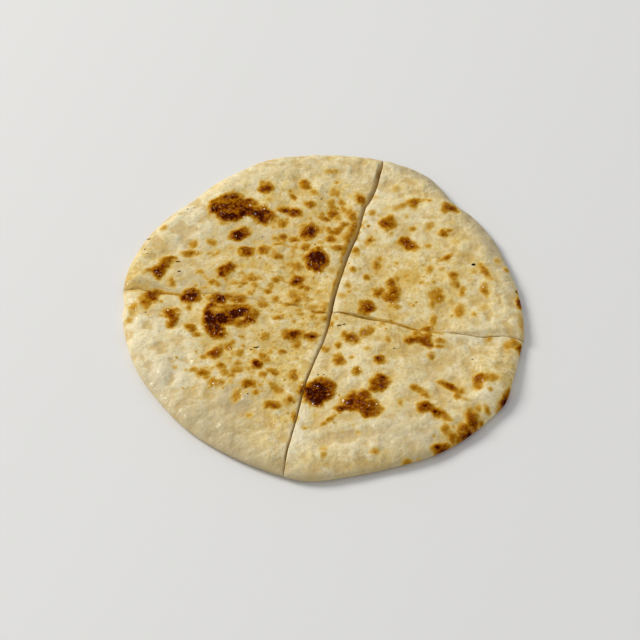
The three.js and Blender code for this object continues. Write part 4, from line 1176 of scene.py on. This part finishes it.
def butter_film(tree, sources):
    """Weight and ripples of the butter on the crust: a thin broken film on pale dough, and beads that
    glint on the browned crust. The cut crumb is dry."""
    brown = sources["browning_and_painted_light"]
    least = add_node(tree, "ShaderNodeMapRange", (brown, 0.05, 0.3, 0.22, 0.0), **SMOOTH)
    film = add_node(tree, "ShaderNodeMapRange", (sources["smear"], 0.44, 0.58, 0.0, least), **SMOOTH)
    most = add_node(tree, "ShaderNodeMapRange", (brown, 0.05, 0.4, 0.15, 0.75), **SMOOTH)
    beads = add_node(tree, "ShaderNodeMapRange", (sources["droplet"], 0.57, 0.65, 0.0, most), **SMOOTH)
    butter = add_node(tree, "ShaderNodeMath", (beads, film), operation="MAXIMUM")
    dry = add_node(tree, "ShaderNodeMath", (1.0, sources["crumb"]), operation="SUBTRACT")
    wet = add_node(tree, "ShaderNodeMath", (dry, butter), operation="MULTIPLY")

    strokes = add_node(tree, "ShaderNodeMapping", {"Vector": sources["place"], "Scale": STROKE_STRETCH})
    ripples = add_node(tree, "ShaderNodeTexNoise", {
        "Vector": strokes, "Scale": 1 / (STROKE_SIZE * MM), "Detail": 0, "Roughness": 0.6,
    })
    rippled = add_node(tree, "ShaderNodeMapRange", (brown, 0.1, 0.5, 0.32, 0.95), **SMOOTH)
    return wet, add_node(tree, "ShaderNodeBump", {
        "Strength": rippled, "Distance": 1.8 * MM, "Height": ripples,
    })


def naan_crust_material(settings):
    """Baked wheat dough: pale, semi-matte and slightly translucent, with a thin film of butter, and
    a dry, grainy brown crust where blisters touched the heat. Light goes about a millimetre into the
    dough and comes out warmer. The crust itself is too dry to shine, so all gloss is the butter's."""
    material, tree = new_material("baked_naan_crust")
    sources = crust_sources(tree)
    baked = baked_level(tree, sources)
    crust = add_node(tree, "ShaderNodeValToRGB", {"Fac": baked}, stops=BAKED_COLOURS)
    covered = add_node(tree, "ShaderNodeMapRange", (baked, 0.02, 0.34, 0.0, 1.0), **SMOOTH)
    colour = add_node(tree, "ShaderNodeMix", {
        MIX_SHARE: covered, MIX_UNDER: layered_dough(tree, sources, settings), MIX_OVER: crust,
    }, MIX_RESULT, data_type="RGBA")

    rough = add_node(tree, "ShaderNodeMapRange", (baked, 0.1, 0.8, 0.5, 0.3), **SMOOTH)
    grain_height = add_node(tree, "ShaderNodeMapRange", (baked, 0.15, 0.8, 0.0, sources["grain"]), **SMOOTH)
    fine_bump = add_node(tree, "ShaderNodeBump", {
        "Strength": 0.9, "Distance": 0.7 * MM, "Height": sources["speck"],
    })
    bump = add_node(tree, "ShaderNodeBump", {
        "Strength": 1.0, "Distance": 1.0 * MM, "Height": grain_height, "Normal": fine_bump,
    })
    wet, wet_bump = butter_film(tree, sources)
    shader = add_node(tree, "ShaderNodeBsdfPrincipled", {
        "Base Color": colour, "Roughness": rough, "Normal": bump, "Specular IOR Level": 0.0,
        "Coat Weight": wet, "Coat Roughness": 0.1, "Coat Normal": wet_bump,
        "Subsurface Weight": 0.1, "Subsurface Radius": (1.0, 0.55, 0.2), "Subsurface Scale": 1.2 * MM,
    })
    add_node(tree, "ShaderNodeOutputMaterial", {"Surface": shader}, output=None)
    return material


def burnt_material():
    """Charred dough: matte flakes, from toasted brown to near black."""
    material, tree = new_material("charred_dough")
    place = add_node(tree, "ShaderNodeTexCoord", output="Object")
    grain = add_node(tree, "ShaderNodeTexNoise", {
        "Vector": place, "Scale": 1 / (CHAR_GRAIN * MM), "Detail": 3.0,
    })
    char = add_node(tree, "ShaderNodeAttribute", output="Fac", attribute_name="char")
    colour = add_node(tree, "ShaderNodeValToRGB", {"Fac": char}, stops=CHAR_COLOURS)
    bump = add_node(tree, "ShaderNodeBump", {"Strength": 0.5, "Distance": 0.2 * MM, "Height": grain})
    shader = add_node(tree, "ShaderNodeBsdfPrincipled", {
        "Base Color": colour, "Roughness": 0.8, "Normal": bump, "Specular IOR Level": 0.0,
    })
    add_node(tree, "ShaderNodeOutputMaterial", {"Surface": shader}, output=None)
    return material


def floor_material(colour):
    """Studio paper: matte and pale, so that it shows only soft shadows."""
    material, tree = new_material("studio_paper")
    shader = add_node(tree, "ShaderNodeBsdfPrincipled", {"Base Color": (*colour, 1), "Roughness": 0.7})
    add_node(tree, "ShaderNodeOutputMaterial", {"Surface": shader}, output=None)
    return material


# ---- Settings ----

class NaanCrustSettings(bpy.types.PropertyGroup):
    """Colours of the baked dough."""

    dough_colour: bpy.props.FloatVectorProperty(
        name="Dough", description="Plain baked dough", subtype="COLOR", default=linear("#e6d094"))
    cream_colour: bpy.props.FloatVectorProperty(
        name="Cream", description="Paler patches of dough", subtype="COLOR", default=linear("#eedcaa"))
    butter_colour: bpy.props.FloatVectorProperty(
        name="Butter", description="Dough soaked with butter", subtype="COLOR", default=linear("#e5c66e"))
    # Pale dough, also the colour of the painted highlight along the lit edges of the cuts
    flour_and_highlight_colour: bpy.props.FloatVectorProperty(
        name="Flour", description="Puffed dough that kept its flour", subtype="COLOR",
        default=linear("#f3e6c0"))
    # Mostly painted shade along the rim and in a hollow, and duller dough elsewhere
    dull_and_shade_colour: bpy.props.FloatVectorProperty(
        name="Dusty", description="Dry dough with raw flour on it", subtype="COLOR",
        default=linear("#c4b28c"))
    toast_colour: bpy.props.FloatVectorProperty(
        name="Toast", description="Faint golden speckle", subtype="COLOR", default=linear("#cba04a"))
    # Painted shade: the warm tint laid into the hollows between puffs
    crease_shade_colour: bpy.props.FloatVectorProperty(
        name="Crease", description="Butter and oil gathered between puffs", subtype="COLOR",
        default=linear("#c9a24e"))
    # Painted shade: much darker and more olive than the crumb itself, as it looks in the shade of the gaps
    crumb_in_shade_colour: bpy.props.FloatVectorProperty(
        name="Crumb", description="Inside of the bread, seen in the cuts", subtype="COLOR",
        default=linear("#946a0e"))


class NaanStageSettings(bpy.types.PropertyGroup):
    """The studio round the bread."""

    floor_colour: bpy.props.FloatVectorProperty(
        name="Floor", description="Colour of the studio paper", subtype="COLOR", default=linear("#e6e5e3"))
    floor_width: bpy.props.FloatProperty(
        name="Floor width", description="Side of the square floor", default=4.0, unit="LENGTH")
    key_power: bpy.props.FloatProperty(
        name="Key light", description="Power of the large soft light at the left", default=130.0,
        unit="POWER")
    key_width: bpy.props.FloatProperty(
        name="Key width", description="Diameter of that light", default=1.8, unit="LENGTH")
    fill_strength: bpy.props.FloatProperty(
        name="Fill light", description="Strength of the even light from all round", default=0.54)
    focal_length: bpy.props.FloatProperty(
        name="Focal length", description="Focal length of the camera on a 36 mm sensor", default=91.7,
        unit="CAMERA")


# ---- Operators ----

class NAAN_OT_quarters(bpy.types.Operator):
    """Build the four quarters of the bread with their browned surface"""

    bl_idname = "naan.quarters"
    bl_label = "Bread Quarters"

    def execute(self, context):
        material = naan_crust_material(context.scene.naan_crust)
        for name in QUARTERS:
            points, faces, crust = quarter_surface(name)
            x, y = points[:, 0], points[:, 1]
            piece = mesh_object("baked_" + name, points, faces, material)
            add_attribute(piece.data, "browning_and_painted_light", browning_and_painted_light(x, y) * crust)
            add_attribute(piece.data, "crumb", 1 - crust)
            # painted shade, worked out from the height of the relief
            add_attribute(piece.data, "crease_shade", painted_crease_shade(x, y))
            for tint, zones in TINT_ZONES.items():
                add_attribute(piece.data, tint, np.clip(bell_sum(zones, x, y), 0, 1))
            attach(piece, "root")
            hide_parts(name)
        return {"FINISHED"}


class NAAN_OT_flecks(bpy.types.Operator):
    """Scatter the burnt flecks that lie on the crust"""

    bl_idname = "naan.flecks"
    bl_label = "Burnt Flecks"

    def execute(self, context):
        points, faces, char = fleck_surface()
        piece = mesh_object("burnt_flecks", points, faces, burnt_material())
        add_attribute(piece.data, "char", char)
        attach(piece, "root")
        return {"FINISHED"}


# ---- Studio: places in metres or, for the camera, in millimetres, and angles in degrees ----

KEY_PLACE = (-2.94, 1.7, 2.48)
KEY_COLOUR = (1.0, 0.985, 0.96)     # a little warmer than the fill
FILL_COLOUR = linear("#f4f6f8")
CAMERA_PLACE = (-0.8, -559.7, 672.6)
CAMERA_PITCH = 50.64
CAMERA_ROLL = -1.29
SENSOR_WIDTH = 36
NEAREST_SEEN = 0.05


def studio_floor(width, colour):
    """A square of paper under the bread."""
    half = width / 2
    corners = [(-half, -half, 0), (half, -half, 0), (half, half, 0), (-half, half, 0)]
    mesh = bpy.data.meshes.new("studio_floor")
    mesh.from_pydata(corners, [], [(0, 1, 2, 3)])
    mesh.materials.append(floor_material(colour))
    return bpy.data.objects.new("studio_floor", mesh)


def key_light(power, width):
    """A large round soft light that shines at the bread from the left, a little from behind."""
    light = bpy.data.lights.new("key", "AREA")
    light.energy = power
    light.shape = "DISK"
    light.size = width
    light.color = KEY_COLOUR
    lamp = bpy.data.objects.new("key", light)
    turn = (-Vector(KEY_PLACE)).to_track_quat("-Z", "Y")
    lamp.matrix_world = Matrix.Translation(KEY_PLACE) @ turn.to_matrix().to_4x4()
    return lamp


def fill_light(strength):
    """Even light from all round."""
    world = bpy.data.worlds.new("studio_light")
    world.use_nodes = True
    background = world.node_tree.nodes["Background"]
    background.inputs["Color"].default_value = (*FILL_COLOUR, 1)
    background.inputs["Strength"].default_value = strength
    return world


def studio_camera(focal_length):
    """The camera in front of the bread, looking down at it."""
    lens = bpy.data.cameras.new("camera")
    lens.lens = focal_length
    lens.sensor_width = SENSOR_WIDTH
    lens.clip_start = NEAREST_SEEN
    camera = bpy.data.objects.new("camera", lens)
    camera.matrix_world = (
        Matrix.Translation([value * MM for value in CAMERA_PLACE])
        @ Matrix.Rotation(math.radians(90 - CAMERA_PITCH), 4, "X")
        @ Matrix.Rotation(math.radians(CAMERA_ROLL), 4, "Z")
    )
    return camera


class NAAN_OT_stage(bpy.types.Operator):
    """Lay the studio floor and set the lights and the camera"""

    bl_idname = "naan.stage"
    bl_label = "Studio"

    def execute(self, context):
        scene = context.scene
        settings = scene.naan_stage
        floor = studio_floor(settings.floor_width, settings.floor_colour)
        lamp = key_light(settings.key_power, settings.key_width)
        camera = studio_camera(settings.focal_length)
        for item in (floor, lamp, camera):
            scene.collection.objects.link(item)
        scene.world = fill_light(settings.fill_strength)
        scene.camera = camera
        scene.view_settings.view_transform = "Standard"
        return {"FINISHED"}


class NAAN_PT_panel(bpy.types.Panel):
    """Lists the steps that build the bread"""

    bl_label = "Naan Bread"
    bl_idname = "NAAN_PT_panel"
    bl_space_type = "VIEW_3D"
    bl_region_type = "UI"
    bl_category = "Naan"

    def draw(self, context):
        for operator in OPERATORS:
            self.layout.operator(operator.bl_idname)
        for group in (context.scene.naan_crust, context.scene.naan_stage):
            for name in type(group).__annotations__:
                self.layout.prop(group, name)


OPERATORS = (NAAN_OT_quarters, NAAN_OT_flecks, NAAN_OT_stage)
CLASSES = (NaanCrustSettings, NaanStageSettings, *OPERATORS, NAAN_PT_panel)


def register():
    """Makes the classes and the scene's settings known."""
    for item in CLASSES:
        bpy.utils.register_class(item)
    bpy.types.Scene.naan_crust = bpy.props.PointerProperty(type=NaanCrustSettings)
    bpy.types.Scene.naan_stage = bpy.props.PointerProperty(type=NaanStageSettings)


def unregister():
    """Takes them away again."""
    del bpy.types.Scene.naan_crust
    del bpy.types.Scene.naan_stage
    for item in reversed(CLASSES):
        bpy.utils.unregister_class(item)


def main():
    """Builds the whole scene."""
    register()
    bpy.ops.naan.quarters()
    bpy.ops.naan.flecks()
    bpy.ops.naan.stage()


if __name__ == "__main__":
    main()
